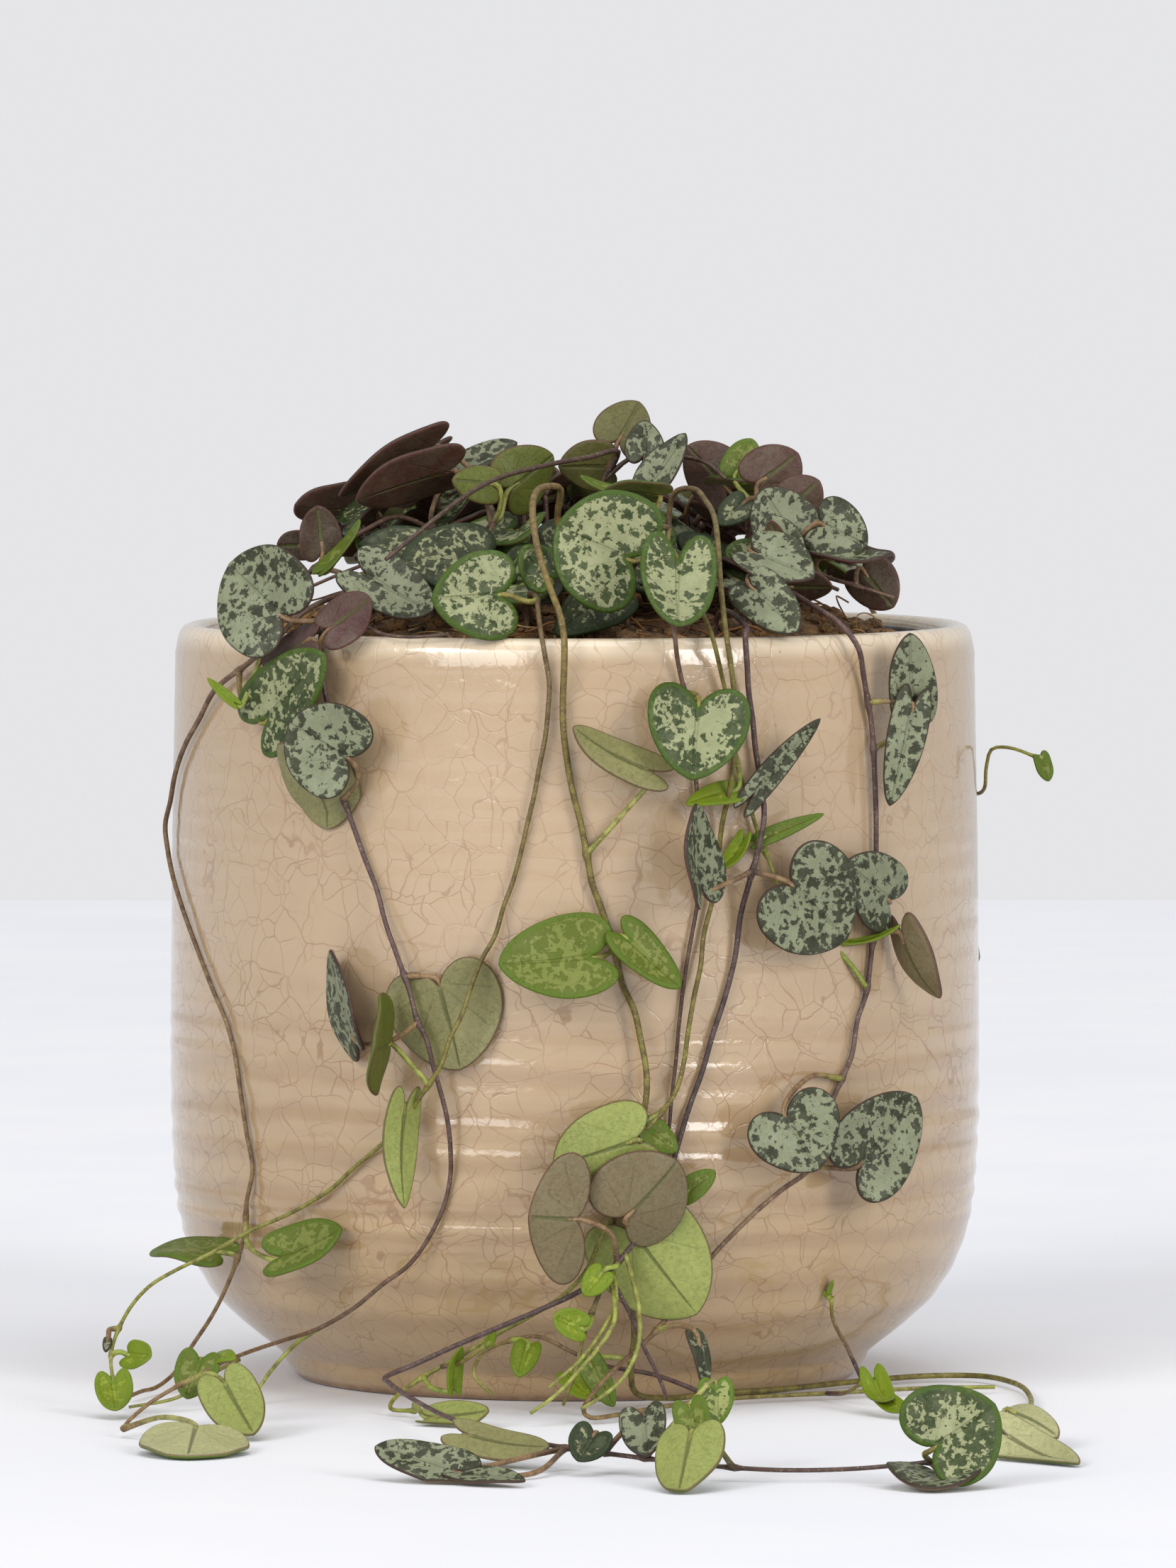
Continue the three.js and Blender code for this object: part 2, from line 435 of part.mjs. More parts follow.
// The far half of the crown: stems fan out over the soil, and leaves stand over them in a low mound.
function crownBehind({ leafCount, seed }) {
  const random = draw(seed);
  const mound = (radius) => SOIL_MIDDLE + 17 * (1 - (radius / 62) ** 2);
  const stems = [25, 75, 120, 160].map((bearing) => {
    const angle = (bearing * Math.PI) / 180;
    const run = [20, 31, 41, 51].map((radius) => around(angle, radius, mound(radius) - 6));
    return [[-4, 8, BURIED_END], [-4, 8, 134], [-4, 8, 140], ...run];
  });
  const leaves = [];
  for (let k = 0; k < leafCount; k += 1) {
    const angle = 0.1 + ((k * 0.618) % 1) * 2.95;
    const radius = 12 + 44 * Math.sqrt((k + 0.5) / leafCount);
    const size = random(14, 18);
    const height = mound(radius) + random(-1, 3);
    const base = around(angle, radius, height);
    const tip = around(angle + random(-0.1, 0.1), radius + size * 0.62, height - random(1, 5));
    leaves.push([base, tip, size, [Math.cos(angle) * 3, Math.sin(angle) * 3, 7]]);
  }
  return { stems, leaves };
}

// ---------------------------------------------------------------- stems and leaves
// A stem and the points along its middle where a petiole may join it.
function rod(points, radius) {
  const path = new THREE.CatmullRomCurve3(points);
  const section = new THREE.Shape();
  for (let i = 0; i < STEM_SIDES; i += 1) {
    const angle = (i / STEM_SIDES) * Math.PI * 2;
    const corner = new THREE.Vector2(Math.cos(angle), Math.sin(angle)).multiplyScalar(radius);
    if (i === 0) {
      section.moveTo(corner.x, corner.y);
    } else {
      section.lineTo(corner.x, corner.y);
    }
  }
  const steps = Math.max(2, Math.round(path.getLength() / STEM_STEP));
  const geometry = new THREE.ExtrudeGeometry(section, { steps, extrudePath: path, bevelEnabled: false });
  return { solid: toSolid(geometry), knots: path.getSpacedPoints(steps).slice(1) };
}

// Half of a heart, from the notch to the tip: share of the length along, share of half the width out.
const HEART = [[-0.25, 0.35], [-0.15, 0.88], [0.3, 0.98], [0.72, 0.58]];
const SMALL_HEART = [[-0.22, 0.5], [0.08, 1], [0.6, 0.72]];
const SMALL_LEAF = 16.1;          // leaves narrower than this take the simpler outline

// The rings of a petiole along a path that starts at the blade's notch.
function petioleRings(corners, path, steps) {
  const base = path.getPoint(0);
  const spokes = corners.map((corner) => corner.clone().sub(base));
  const rings = [];
  for (let k = 1; k <= steps; k += 1) {
    const tangent = path.getTangent(k / steps);
    const centre = path.getPoint(k / steps);
    spokes.forEach((spoke) => {
      const length = spoke.length();
      spoke.addScaledVector(tangent, -spoke.dot(tangent)).setLength(length);
    });
    rings.push(spokes.map((spoke) => centre.clone().add(spoke)));
  }
  return rings;
}

// A heart-shaped blade, folded a little along its midrib, in one piece with its petiole.
function leaf(knot, base, tip, width, face) {
  const along = tip.clone().sub(base);
  const length = along.length();
  along.normalize();
  const up = face.clone().addScaledVector(along, -face.dot(along)).normalize();
  const out = up.clone().cross(along);
  const half = (width < SMALL_LEAF ? SMALL_HEART : HEART).map(([u, v]) => [u * length, (v * width) / 2]);
  const outline = [
    [0, PETIOLE_RADIUS], ...half, [length, 0],
    ...half.reverse().map(([u, v]) => [u, -v]), [0, -PETIOLE_RADIUS],
  ];
  const middle = outline.map(([u, v]) => {
    const point = base.clone().addScaledVector(along, u).addScaledVector(out, v);
    return clear(point.addScaledVector(up, Math.abs(v) * BLADE_FOLD), BLADE_THICKNESS / 2);
  });
  const points = [0.5, -0.5].flatMap((side) => middle.map((point) => (
    point.clone().addScaledVector(up, side * BLADE_THICKNESS))));
  const count = outline.length;
  const last = count - 1;
  const tipAt = half.length + 1;
  const index = [];
  const bothFaces = (a, b, c) => index.push(a, b, c, count + a, count + c, count + b);
  for (let i = 1; i < tipAt; i += 1) {
    bothFaces(0, i + 1, i);
    bothFaces(last, last - i, last - i - 1);
  }
  bothFaces(0, last, tipAt);
  for (let i = 0; i < last; i += 1) {
    index.push(i, i + 1, count + i);
    index.push(i + 1, count + i + 1, count + i);
  }
  // A petiole that would have to pass its own blade is a short stub, with a rod joined to it.
  const notch = middle[0].clone().lerp(middle[last], 0.5);
  const reach = notch.distanceTo(knot);
  const behind = knot.clone().sub(notch).dot(along) < 0;
  const bend = notch.clone().lerp(knot, 0.5).addScaledVector(along, -0.2 * reach);
  const stubEnd = notch.clone().addScaledVector(along, -STUB_LENGTH);
  const path = behind
    ? new THREE.CatmullRomCurve3([notch, clear(bend, PETIOLE_RADIUS), knot])
    : new THREE.LineCurve3(notch, stubEnd);
  const longSteps = reach > LONG_PETIOLE ? 3 : 2;
  let ring = [last, 0, count, count + last];
  petioleRings(ring.map((i) => points[i]), path, behind ? longSteps : 1).forEach((corners) => {
    const next = corners.map((corner) => points.push(corner) - 1);
    for (let j = 0; j < 4; j += 1) {
      const k = (j + 1) % 4;
      index.push(ring[j], ring[k], next[k]);
      index.push(ring[j], next[k], next[j]);
    }
    ring = next;
  });
  index.push(ring[0], ring[1], ring[2]);
  index.push(ring[0], ring[2], ring[3]);
  const geometry = new THREE.BufferGeometry().setFromPoints(points);
  geometry.setIndex(index);
  const solid = toSolid(geometry);
  if (behind) {
    return solid;
  }
  const turn = stubEnd.clone().lerp(notch, 0.5);
  return solid.add(rod([turn, stubEnd.clone().lerp(knot, 0.3), knot], PETIOLE_RADIUS).solid);
}

function leafyStem(name, { stems, leaves }) {
  const routes = stems.map((route) => route.map((xyz, i) => {
    const point = new THREE.Vector3(...xyz);
    return i === 0 ? point : clear(point, STEM_RADIUS);
  }));
  const rods = routes.map((route, i) => rod(route, i === 0 ? STEM_RADIUS : BRANCH_RADIUS));
  const knots = rods.flatMap((piece) => piece.knots);
  let solid = rods.map((piece) => piece.solid).reduce((whole, piece) => whole.add(piece));
  leaves.forEach(([base, tip, width, face]) => {
    const [from, to, facing] = [base, tip, face].map((xyz) => new THREE.Vector3(...xyz));
    const along = to.clone().sub(from).normalize();
    const cost = (point) => point.distanceTo(from) + 1.5 * Math.max(0, point.clone().sub(from).dot(along));
    const knot = knots.reduce((best, point) => (cost(point) < cost(best) ? point : best));
    solid = solid.add(leaf(knot, from, to, width, facing));
  });
  return named(name, toGeometry(solid), 'leaf');
}

// ---------------------------------------------------------------- the pot, the grow pot and the soil
const SOIL_RADIUS = GROW_POT_RIM - GROW_POT_WALL - 2 - GAP;

function pot() {
  const inside = [
    [65.4, 130.2], [64.9, 126], [POT_RADIUS - POT_WALL, 84], [POT_RADIUS - POT_WALL, 44],
    [63.5, 27], [57, 13], [48, POT_FLOOR], [0, POT_FLOOR],
  ];
  return turned([[0, 0], ...POT_OUTSIDE, ...inside], POT_SEGMENTS);
}

function growPot() {
  const floor = POT_FLOOR + GAP;
  const neck = GROW_POT_RIM - 2;
  return turned([
    [0, floor], [GROW_POT_BASE, floor], [neck, GROW_POT_TOP - 7], [GROW_POT_RIM, GROW_POT_TOP - 6.5],
    [GROW_POT_RIM, GROW_POT_TOP], [GROW_POT_RIM - GROW_POT_WALL, GROW_POT_TOP],
    [neck - GROW_POT_WALL, GROW_POT_TOP - 6], [GROW_POT_BASE - GROW_POT_WALL, floor + GROW_POT_WALL],
    [0, floor + GROW_POT_WALL],
  ], SOIL_SEGMENTS);
}

function soil() {
  const floor = POT_FLOOR + GROW_POT_WALL + 2 * GAP;
  const base = GROW_POT_BASE - GROW_POT_WALL - GAP;
  const neck = GROW_POT_RIM - 2 - GROW_POT_WALL - GAP;
  const top = [1, 0.9, 0.75, 0.5].map((share) => [neck * share, soilTop(neck * share)]);
  const profile = [
    [0, floor], [base, floor], [neck, GROW_POT_TOP - 6], ...top, [0, SOIL_MIDDLE],
  ];
  let solid = toSolid(turned(profile, SOIL_SEGMENTS));
  Object.values(growth).forEach(({ stems }) => {
    const [x, y] = stems[0][0];
    const hole = new THREE.CylinderGeometry(
      STEM_RADIUS + HOLE_CLEARANCE, STEM_RADIUS + HOLE_CLEARANCE, 24, 8);
    hole.rotateX(Math.PI / 2);
    hole.translate(x, y, BURIED_END - 1 + 12);
    solid = solid.subtract(toSolid(hole));
  });
  return toGeometry(solid);
}

const growth = { ...PLANT, crown_back: crownBehind(CROWN_BEHIND) };
Object.entries(HANGING).forEach(([name, hang]) => {
  growth[name] = hangingStem(hang);
});
growth.stem_side_right.stems.push(STRAY_SHOOT);

const plant = new THREE.Group();
plant.add(named('pot', pot(), 'glaze'));
plant.add(named('grow_pot', growPot(), 'plastic'));
plant.add(named('soil', soil(), 'soil'));
Object.entries(growth).forEach(([name, parts]) => plant.add(leafyStem(name, parts)));

export default plant;
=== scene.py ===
# String of hearts (Ceropegia woodii) trailing over a crackle-glazed stoneware pot.
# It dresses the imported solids. Sizes are in millimetres, but those of the settings, the floor, the
# lights and the camera are in metres.
import math

import bpy
import numpy as np
from bpy.props import FloatProperty, FloatVectorProperty, IntProperty, PointerProperty
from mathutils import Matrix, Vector, noise


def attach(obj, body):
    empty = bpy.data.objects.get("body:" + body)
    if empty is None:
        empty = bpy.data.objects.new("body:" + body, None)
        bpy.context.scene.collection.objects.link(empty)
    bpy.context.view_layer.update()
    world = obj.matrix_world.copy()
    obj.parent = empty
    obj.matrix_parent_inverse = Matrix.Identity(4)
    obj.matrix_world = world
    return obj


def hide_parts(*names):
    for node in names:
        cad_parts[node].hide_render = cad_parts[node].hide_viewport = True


bl_info = {
    "name": "String of Hearts",
    "version": (1, 0, 0),
    "blender": (4, 5, 0),
    "location": "3D View > Sidebar > Plant",
    "description": "Dresses a string of hearts and its crackle-glazed pot",
    "category": "Add Mesh",
}

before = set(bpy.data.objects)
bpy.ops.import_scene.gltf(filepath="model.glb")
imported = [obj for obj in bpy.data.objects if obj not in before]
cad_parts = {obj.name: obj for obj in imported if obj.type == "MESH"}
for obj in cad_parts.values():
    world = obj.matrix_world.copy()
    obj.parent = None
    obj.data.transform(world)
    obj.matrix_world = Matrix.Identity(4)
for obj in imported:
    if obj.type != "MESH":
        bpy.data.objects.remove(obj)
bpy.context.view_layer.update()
MM = 0.001
BODY = "root"

# ------------------------------------------------------------------ sizes shared with the solids
POT_RADIUS = 70.0
POT_HEIGHT = 131.0
POT_WALL = 4.4
POT_FLOOR = 6.0
FOOT_RADIUS = 48.4
GROW_POT_RIM = 61.0
GROW_POT_BASE = 44.0
GROW_POT_TOP = 129.5
GROW_POT_WALL = 1.2
SOIL_EDGE = 128.2
SOIL_MIDDLE = 136.4
SHOULDER = 22.0                   # below this the glazed wall curves in towards the foot
GAP = 0.3
SOIL_RADIUS = GROW_POT_RIM - GROW_POT_WALL - 2 - GAP
STEM_RADIUS = 0.7
KNOT_STEP = 8.1                   # distance between the points of a stem where leaves may grow
BURIED_END = 126.0                # height at which a stem starts in its hole
BLADE_FOLD = 0.16

# The glazed outside, from the base up: radius, height.
POT_OUTSIDE = [
    (FOOT_RADIUS, 0), (50.3, 2.4), (51.6, 5), (58.6, 10.6), (62.8, 14.8), (66.2, 20.4), (68.6, 27.5),
    (POT_RADIUS, 42), (POT_RADIUS, 84), (69.3, 126), (68.6, 129.6), (67, POT_HEIGHT),
]

# Stems at the sides and behind: where they hang, how far down, and a seed for their leaves.
HANG_STEP = 9
HANG_START = 129                  # height from which they hang free of the rim
REAR_RADIUS = 0.5                 # of these stems, and of those in the far half of the crown
OVER_RIM = [(47, BURIED_END), (47.5, 136), (54, 139), (61.5, 137.5), (67.5, 133.8), (71.3, HANG_START)]
HANGING = {
    "stem_side_right": {"bearing": 41, "drop": 72, "seed": 11},
    "stem_back": {"bearing": 82, "drop": 99, "seed": 23},
    "stem_side_left": {"bearing": 143, "drop": 63, "seed": 37},
}
CROWN_BEHIND = {"leaf_count": 8, "seed": 5}

# A side branch of stem_side_right that the camera sees at the right edge of the pot, and its leaf.
STRAY_SHOOT = [(54.5, 47, 103), (59, 41, 103), (62.5, 34.5, 102), (65.5, 28, 102), (69.5, 14, 100.5),
               (71.4, 5, 102), (71.6, 1, 106), (72.5, 0, 109), (75.5, -1, 109.3), (80.5, -2, 107.6)]
STRAY_LEAF = ((81, -2, 107.5), (82.5, -2, 103.5), 4, (3, -5, 4), "leafy lime")


# ------------------------------------------------------------------ colours
def rgb(red, green, blue):
    """A screen colour, 0 to 255, as the linear colour that shaders read."""
    shares = (value / 255 for value in (red, green, blue))
    linear = [s / 12.92 if s <= 0.04045 else ((s + 0.055) / 1.055) ** 2.4 for s in shares]
    return (*linear, 1.0)


BROWN = rgb(104, 78, 60)
UMBER = rgb(80, 58, 44)
PURPLE = rgb(90, 66, 60)
DARK = rgb(72, 54, 50)
TAN = rgb(134, 108, 66)
OLIVE = rgb(116, 106, 40)
SAP = rgb(138, 142, 56)
LIME = rgb(150, 156, 72)

# The upper side of a leaf: its silver, its blotches, its rim, how much of it is blotch, its petiole.
UPPER = {
    "silver": {"silver": rgb(124, 129, 101), "blotch": rgb(33, 36, 14), "rim": rgb(32, 42, 12),
               "cover": 0.34, "petiole": rgb(136, 108, 72)},
    "bright": {"silver": rgb(144, 147, 108), "blotch": rgb(34, 50, 6), "rim": rgb(56, 78, 8),
               "cover": 0.44, "petiole": rgb(146, 138, 64)},
    "young": {"silver": rgb(140, 145, 84), "blotch": rgb(52, 72, 8), "rim": rgb(78, 104, 8),
              "cover": 0.42, "petiole": rgb(158, 158, 84)},
    "leafy": {"silver": rgb(110, 118, 52), "blotch": rgb(78, 90, 14), "rim": rgb(76, 96, 12),
              "cover": 0.5, "petiole": rgb(150, 156, 72)},
    "grass": {"silver": rgb(130, 144, 40), "blotch": rgb(102, 118, 12), "rim": rgb(98, 118, 10),
              "cover": 0.5, "petiole": rgb(144, 160, 62)},
    "marbled": {"silver": rgb(136, 138, 102), "blotch": rgb(26, 36, 8), "rim": rgb(28, 42, 8),
                "cover": 0.8, "petiole": rgb(118, 92, 60)},
}
# Undersides. The pale "lime" and "cream" are partly the colour of young blades and partly painted light,
# brighter for the light that shines through the thin blades.
UNDER = {
    "plum": rgb(80, 50, 48), "maroon": rgb(75, 45, 36), "brown": rgb(60, 36, 23),
    "ash": rgb(111, 97, 68), "olive": rgb(92, 88, 42), "moss": rgb(86, 92, 28),
    "sage": rgb(126, 122, 78), "lime": rgb(139, 147, 78), "cream": rgb(168, 168, 122),
}

# ------------------------------------------------------------------ where the plant grows
# A stem's routes run from its root hole outwards, and further routes branch off it. A leaf is its
# base at the notch, its tip, its width, the way its upper side faces, and two finishes: one in
# UPPER and one in UNDER.
PLANT = {}


def grown(name, radius, colours, stems, leaves, branches=()):
    """Notes down what grows out of one root hole, with the colours of its stem and its branches."""
    PLANT[name] = {"radius": radius, "colours": colours, "branches": branches, "stems": stems,
                   "leaves": leaves}


grown("stem_left_outer", radius=0.5, colours=[BROWN, TAN], stems=[
    [(-24, -36, 126), (-25, -36.5, 137), (-31, -40, 139.5), (-40, -44.5, 137.5),
     (-46, -49.5, 134.8), (-50.5, -51.5, 130.5), (-55.5, -45.5, 126), (-61.5, -36, 121),
     (-64.5, -29, 115.5), (-67, -23, 111), (-69, -16, 105.5), (-70, -11.5, 100.5), (-71, -8, 96),
     (-70.5, -9.5, 92), (-69.5, -15, 88), (-67.5, -22.5, 82.5), (-65, -28.5, 76.5),
     (-62, -35, 69.5), (-59.5, -39, 64), (-58, -41, 58.5), (-57, -43, 52), (-56, -44, 45.5),
     (-55, -44.5, 39.5), (-56, -44, 34), (-56.5, -43, 28), (-58, -41.5, 23), (-60, -39, 18),
     (-62.5, -34, 13), (-66, -29.5, 7.5), (-68.5, -30.5, 3.6), (-71.5, -36, 1.4), (-74, -43, 1.3),
     (-75.5, -50, 1.3)],
], leaves=[
    ((-52.2, -52.5, 116.7), (-42.4, -63, 128.3), 14, (-4, -7, 1), "bright lime"),
    ((-61.5, -38, 24.7), (-72.8, -29, 25), 13, (0, -3, 9), "leafy moss"),
    ((-49.6, -56, 25.4), (-38.8, -60, 29.9), 11, (-2, -6, 6), "leafy lime"),
    ((-57.9, -52, 119.6), (-62.4, -50, 123.4), 2, (0, -7, 2), "grass lime"),
])
grown("stem_left_inner", radius=0.48, colours=[PURPLE, PURPLE, TAN], branches=[[SAP, LIME]], stems=[
    [(-37, -37, 126), (-37.5, -38, 134.5), (-40, -43, 135), (-42.5, -50, 133.2), (-43, -56, 131),
     (-43, -56.5, 126), (-42, -57, 120), (-40.5, -58, 113.5), (-40, -58.5, 106.5),
     (-39, -59.5, 103), (-37.5, -60.5, 99), (-35.5, -61.5, 93.5), (-33.5, -63.2, 88.5),
     (-32, -65.2, 83), (-30, -67.5, 77.5), (-28, -68.8, 72), (-26.5, -69.8, 66.5),
     (-25, -70.3, 63.5), (-24, -70.6, 59.5), (-23, -70.7, 56), (-21.5, -70.3, 50), (-21, -69.3, 45),
     (-21, -68, 40.5), (-22, -67, 35.5), (-24.5, -66.5, 30), (-28, -65, 25), (-32.5, -63, 21.5),
     (-37.5, -58.5, 17), (-43.5, -55, 13.2), (-49.2, -63, 12), (-54.8, -74, 11.1),
     (-58.9, -84, 10.3), (-61.7, -90, 9.3), (-66.2, -96, 7.5), (-70.7, -100, 5.1),
     (-74.1, -104, 2.5), (-74.9, -107, 1.5)],
    [(-43.5, -55, 13.2), (-47, -50, 10.5), (-49.5, -48, 8), (-52, -50, 5.2), (-54, -53, 2.6),
     (-56, -54, 1)],
], leaves=[
    ((-45, -57, 130.1), (-53, -49.5, 126.1), 9, (6, 6, -4), "silver plum"),
    ((-41, -59, 132.5), (-34, -62, 137.5), 9, (-2, 7, -5), "silver plum"),
    ((-38.7, -66, 111), (-48.1, -64, 116.8), 16.5, (-4, -7, 1), "silver sage"),
    ((-44.8, -61, 109.8), (-40.6, -55, 98.1), 16, (4, 6, 1), "silver sage"),
    ((-37.4, -65, 64), (-41.9, -61, 78), 14, (-9, -2, 0), "silver plum"),
    ((-22.8, -67.9, 72.3), (-19, -69, 58.3), 20.3, (2, 7, 0), "silver sage"),
    ((-62.8, -88, 10.6), (-64.8, -93, 4.7), 7.5, (-1, -8, 3), "leafy lime"),
    ((-62.2, -130, 4), (-63.1, -144, 0.6), 18.2, (0, 5, -6), "young cream"),
    ((-58.1, -103, 8.3), (-52.9, -114, 0.7), 10, (0, 7, -3), "leafy lime"),
    ((-60.5, -86, 11.3), (-57.1, -91, 12.1), 4.5, (0, -5, 5), "grass lime"),
])
grown("stem_left_middle", radius=0.45, colours=[BROWN, OLIVE, LIME],
      branches=[[OLIVE, LIME]], stems=[
    [(-8, -47, 126), (-8, -47.5, 135), (-7.5, -54, 138), (-6.5, -61, 137.5), (-6, -67.5, 134),
     (-5.5, -71, 131), (-4.8, -70.7, 127), (-4.3, -70.7, 123.5), (-4.5, -70.7, 119.5),
     (-5, -70.7, 114.5), (-6, -70.7, 109.5), (-6.8, -70.7, 105), (-8, -70.5, 100),
     (-9, -70.5, 95.5), (-10.5, -70.5, 90), (-12, -70.6, 86), (-13.5, -71.5, 81),
     (-15.5, -72.2, 77.5), (-17.5, -73, 72.5), (-19, -73.8, 68), (-21, -74.2, 64),
     (-22.5, -74.2, 59.5), (-26, -72.3, 54), (-28.5, -68.5, 50), (-33.5, -63, 44.5),
     (-37.5, -60.5, 41), (-41, -58, 37.5), (-44.5, -55.5, 35), (-49.5, -51.5, 32),
     (-55, -49.5, 29.5), (-62.5, -45.5, 25), (-68.4, -44, 22), (-72.3, -46, 19.8),
     (-75.3, -50, 16.9), (-77.4, -55, 13.4), (-78.4, -60, 10.6), (-78.5, -65, 8.4), (-78, -70, 6.1)],
    [(-57, -56, 8), (-61.3, -60, 6.1), (-67.1, -65, 2.5), (-75.4, -67, 0.9)],
], leaves=[
    ((-12.7, -65.5, 138.3), (-24, -69.5, 137.8), 15.5, (0, -9, 1), "bright sage"),
    ((-4.5, -56, 141), (-9, -55, 146), 8, (0, -8, 3), "bright sage"),
    ((-5.4, -48, 140.2), (-4.5, -51, 136.1), 7, (1, -6, 4), "marbled plum"),
    ((-31.4, -70, 62.7), (-33.8, -80, 62.5), 17.5, (-7, 3, 1), "leafy moss"),
    ((-29, -71.5, 51.6), (-29.8, -72.5, 35.2), 7.5, (-5, 7, 0), "leafy lime"),
    ((-77.8, -72, 5.5), (-77, -79, 0.8), 6.5, (0, -7, 4), "grass lime"),
    ((-75.2, -62, 9.3), (-71.5, -66, 9.3), 5.5, (0, -7, 3), "grass lime"),
    ((-79.2, -60, 11.7), (-79.5, -62, 9.9), 1.6, (0, -7, 3), "silver plum"),
])
grown("stem_front_hook", radius=0.61, colours=[TAN, OLIVE, OLIVE, SAP], stems=[
    [(-2, -22, 126), (-2, -22, 140), (-3, -24, 150), (-2.5, -28, 155), (-5.5, -34, 155.5),
     (-7, -42, 154), (-7, -52, 149.5), (-5.8, -60, 144), (-4, -65.5, 139), (-2.5, -69.5, 135),
     (-1.8, -72.5, 131), (-1.8, -72, 126.5), (-2, -71, 121.5), (-2, -71, 117), (-1.5, -71, 112),
     (-0.5, -71, 106), (1, -71, 100), (2, -71, 95), (3, -71, 89.5), (4, -71, 87), (6, -71, 81),
     (7, -71, 77.5), (8, -71, 73), (10, -72, 68.5), (11, -72, 64), (12, -73, 58.5), (12, -73.5, 54),
     (11, -73, 49), (9, -72.5, 43), (7, -71.8, 37), (6.5, -71.5, 31), (8, -70.5, 25),
     (9.5, -69, 19), (10, -67.5, 13.5), (9.5, -66.5, 8), (10, -64, 3.5), (15.5, -54, 1.2),
     (24, -46, 1.2), (35, -39, 1.2), (46, -28, 1.2), (54, -20.5, 1.2), (62, -15.5, 1.2),
     (70, -16, 1.2), (75.5, -28, 1.2), (77.5, -52, 1.2), (76, -80, 1.2), (73, -104, 1.2),
     (70.5, -122, 2.5)],
], leaves=[
    ((12, -73.5, 108.9), (-1.4, -77.5, 115.8), 7.5, (1, 7, -5), "young sage"),
    ((2.5, -75, 77.6), (-13, -77.5, 76.2), 15, (-1, -7, 3), "leafy lime"),
    ((8.7, -74, 80.7), (17.6, -75, 72.3), 8, (2, -6, 3), "leafy lime"),
    ((2.7, -71.5, 8.7), (6.5, -75, 1.9), 5, (-3, -7, 2), "leafy sage"),
    ((70.9, -140, 3.1), (82.5, -153, -1.5), 9, (1, 5, -5), "young cream"),
    ((71.8, -120, 5.6), (79, -129, 3.4), 8, (0, 6, -6), "young cream"),
])
grown("stem_front_thin", radius=0.45, colours=[BROWN, UMBER], stems=[
    [(9, -44, 126), (9, -45, 137), (10, -49, 142.5), (11.7, -53, 143.8), (13.7, -59, 140.8),
     (15.7, -66, 136.5), (16.8, -71, 131.5), (17.2, -69.5, 128), (18, -68.5, 124), (19, -68.3, 120),
     (19.5, -68, 116), (20, -68, 111.5), (20.5, -67.8, 106), (21, -67.7, 101), (21, -67.8, 96.5),
     (21, -68, 91), (20.5, -68, 85.5), (19.5, -68.5, 80), (18.5, -68.5, 74), (17.5, -69, 65.5),
     (17, -69, 59.5), (16.3, -69.5, 53.5), (15.8, -69.5, 47.5), (15.2, -69.7, 43)],
], leaves=[
    ((6.5, -50, 137.8), (-3.1, -56, 131.8), 10, (1, -7, 4), "marbled plum"),
    ((20.7, -72.5, 119.6), (19.5, -78, 107.4), 17.6, (1, -9, 1), "bright sage"),
])
grown("stem_right_short", radius=0.47, colours=[TAN, OLIVE, SAP], stems=[
    [(17, -38, 126), (16.5, -38, 136), (13.5, -42, 140.5), (13, -47, 141.7), (16, -52, 141),
     (20, -59.5, 137.5), (22.2, -66, 133.8), (23.3, -70, 130.8), (24.7, -67, 125),
     (25.5, -66.3, 121.5), (26.5, -65.8, 116.5), (27, -65.7, 112), (28, -65.2, 107.5),
     (28.8, -65, 105.5), (30, -64.5, 101), (31.5, -64.5, 96.5), (33.5, -64.5, 91.5), (35, -65, 87.5)],
], leaves=[
    ((17, -45, 141.5), (15.5, -49, 134.5), 10, (0, -8, 1), "bright sage"),
    ((30, -67, 104.8), (40.9, -64, 117.3), 4.5, (5, -6, 5), "silver sage"),
    ((31.8, -66.5, 97.3), (42.1, -63, 101.3), 3.2, (1, -6, 5), "leafy lime"),
    ((26.3, -69, 105.4), (18.8, -72.5, 103.8), 5, (0, -6, 5), "grass lime"),
    ((28.4, -67, 96.4), (24.1, -69.5, 90.8), 4, (-6, -6, 1), "grass lime"),
])
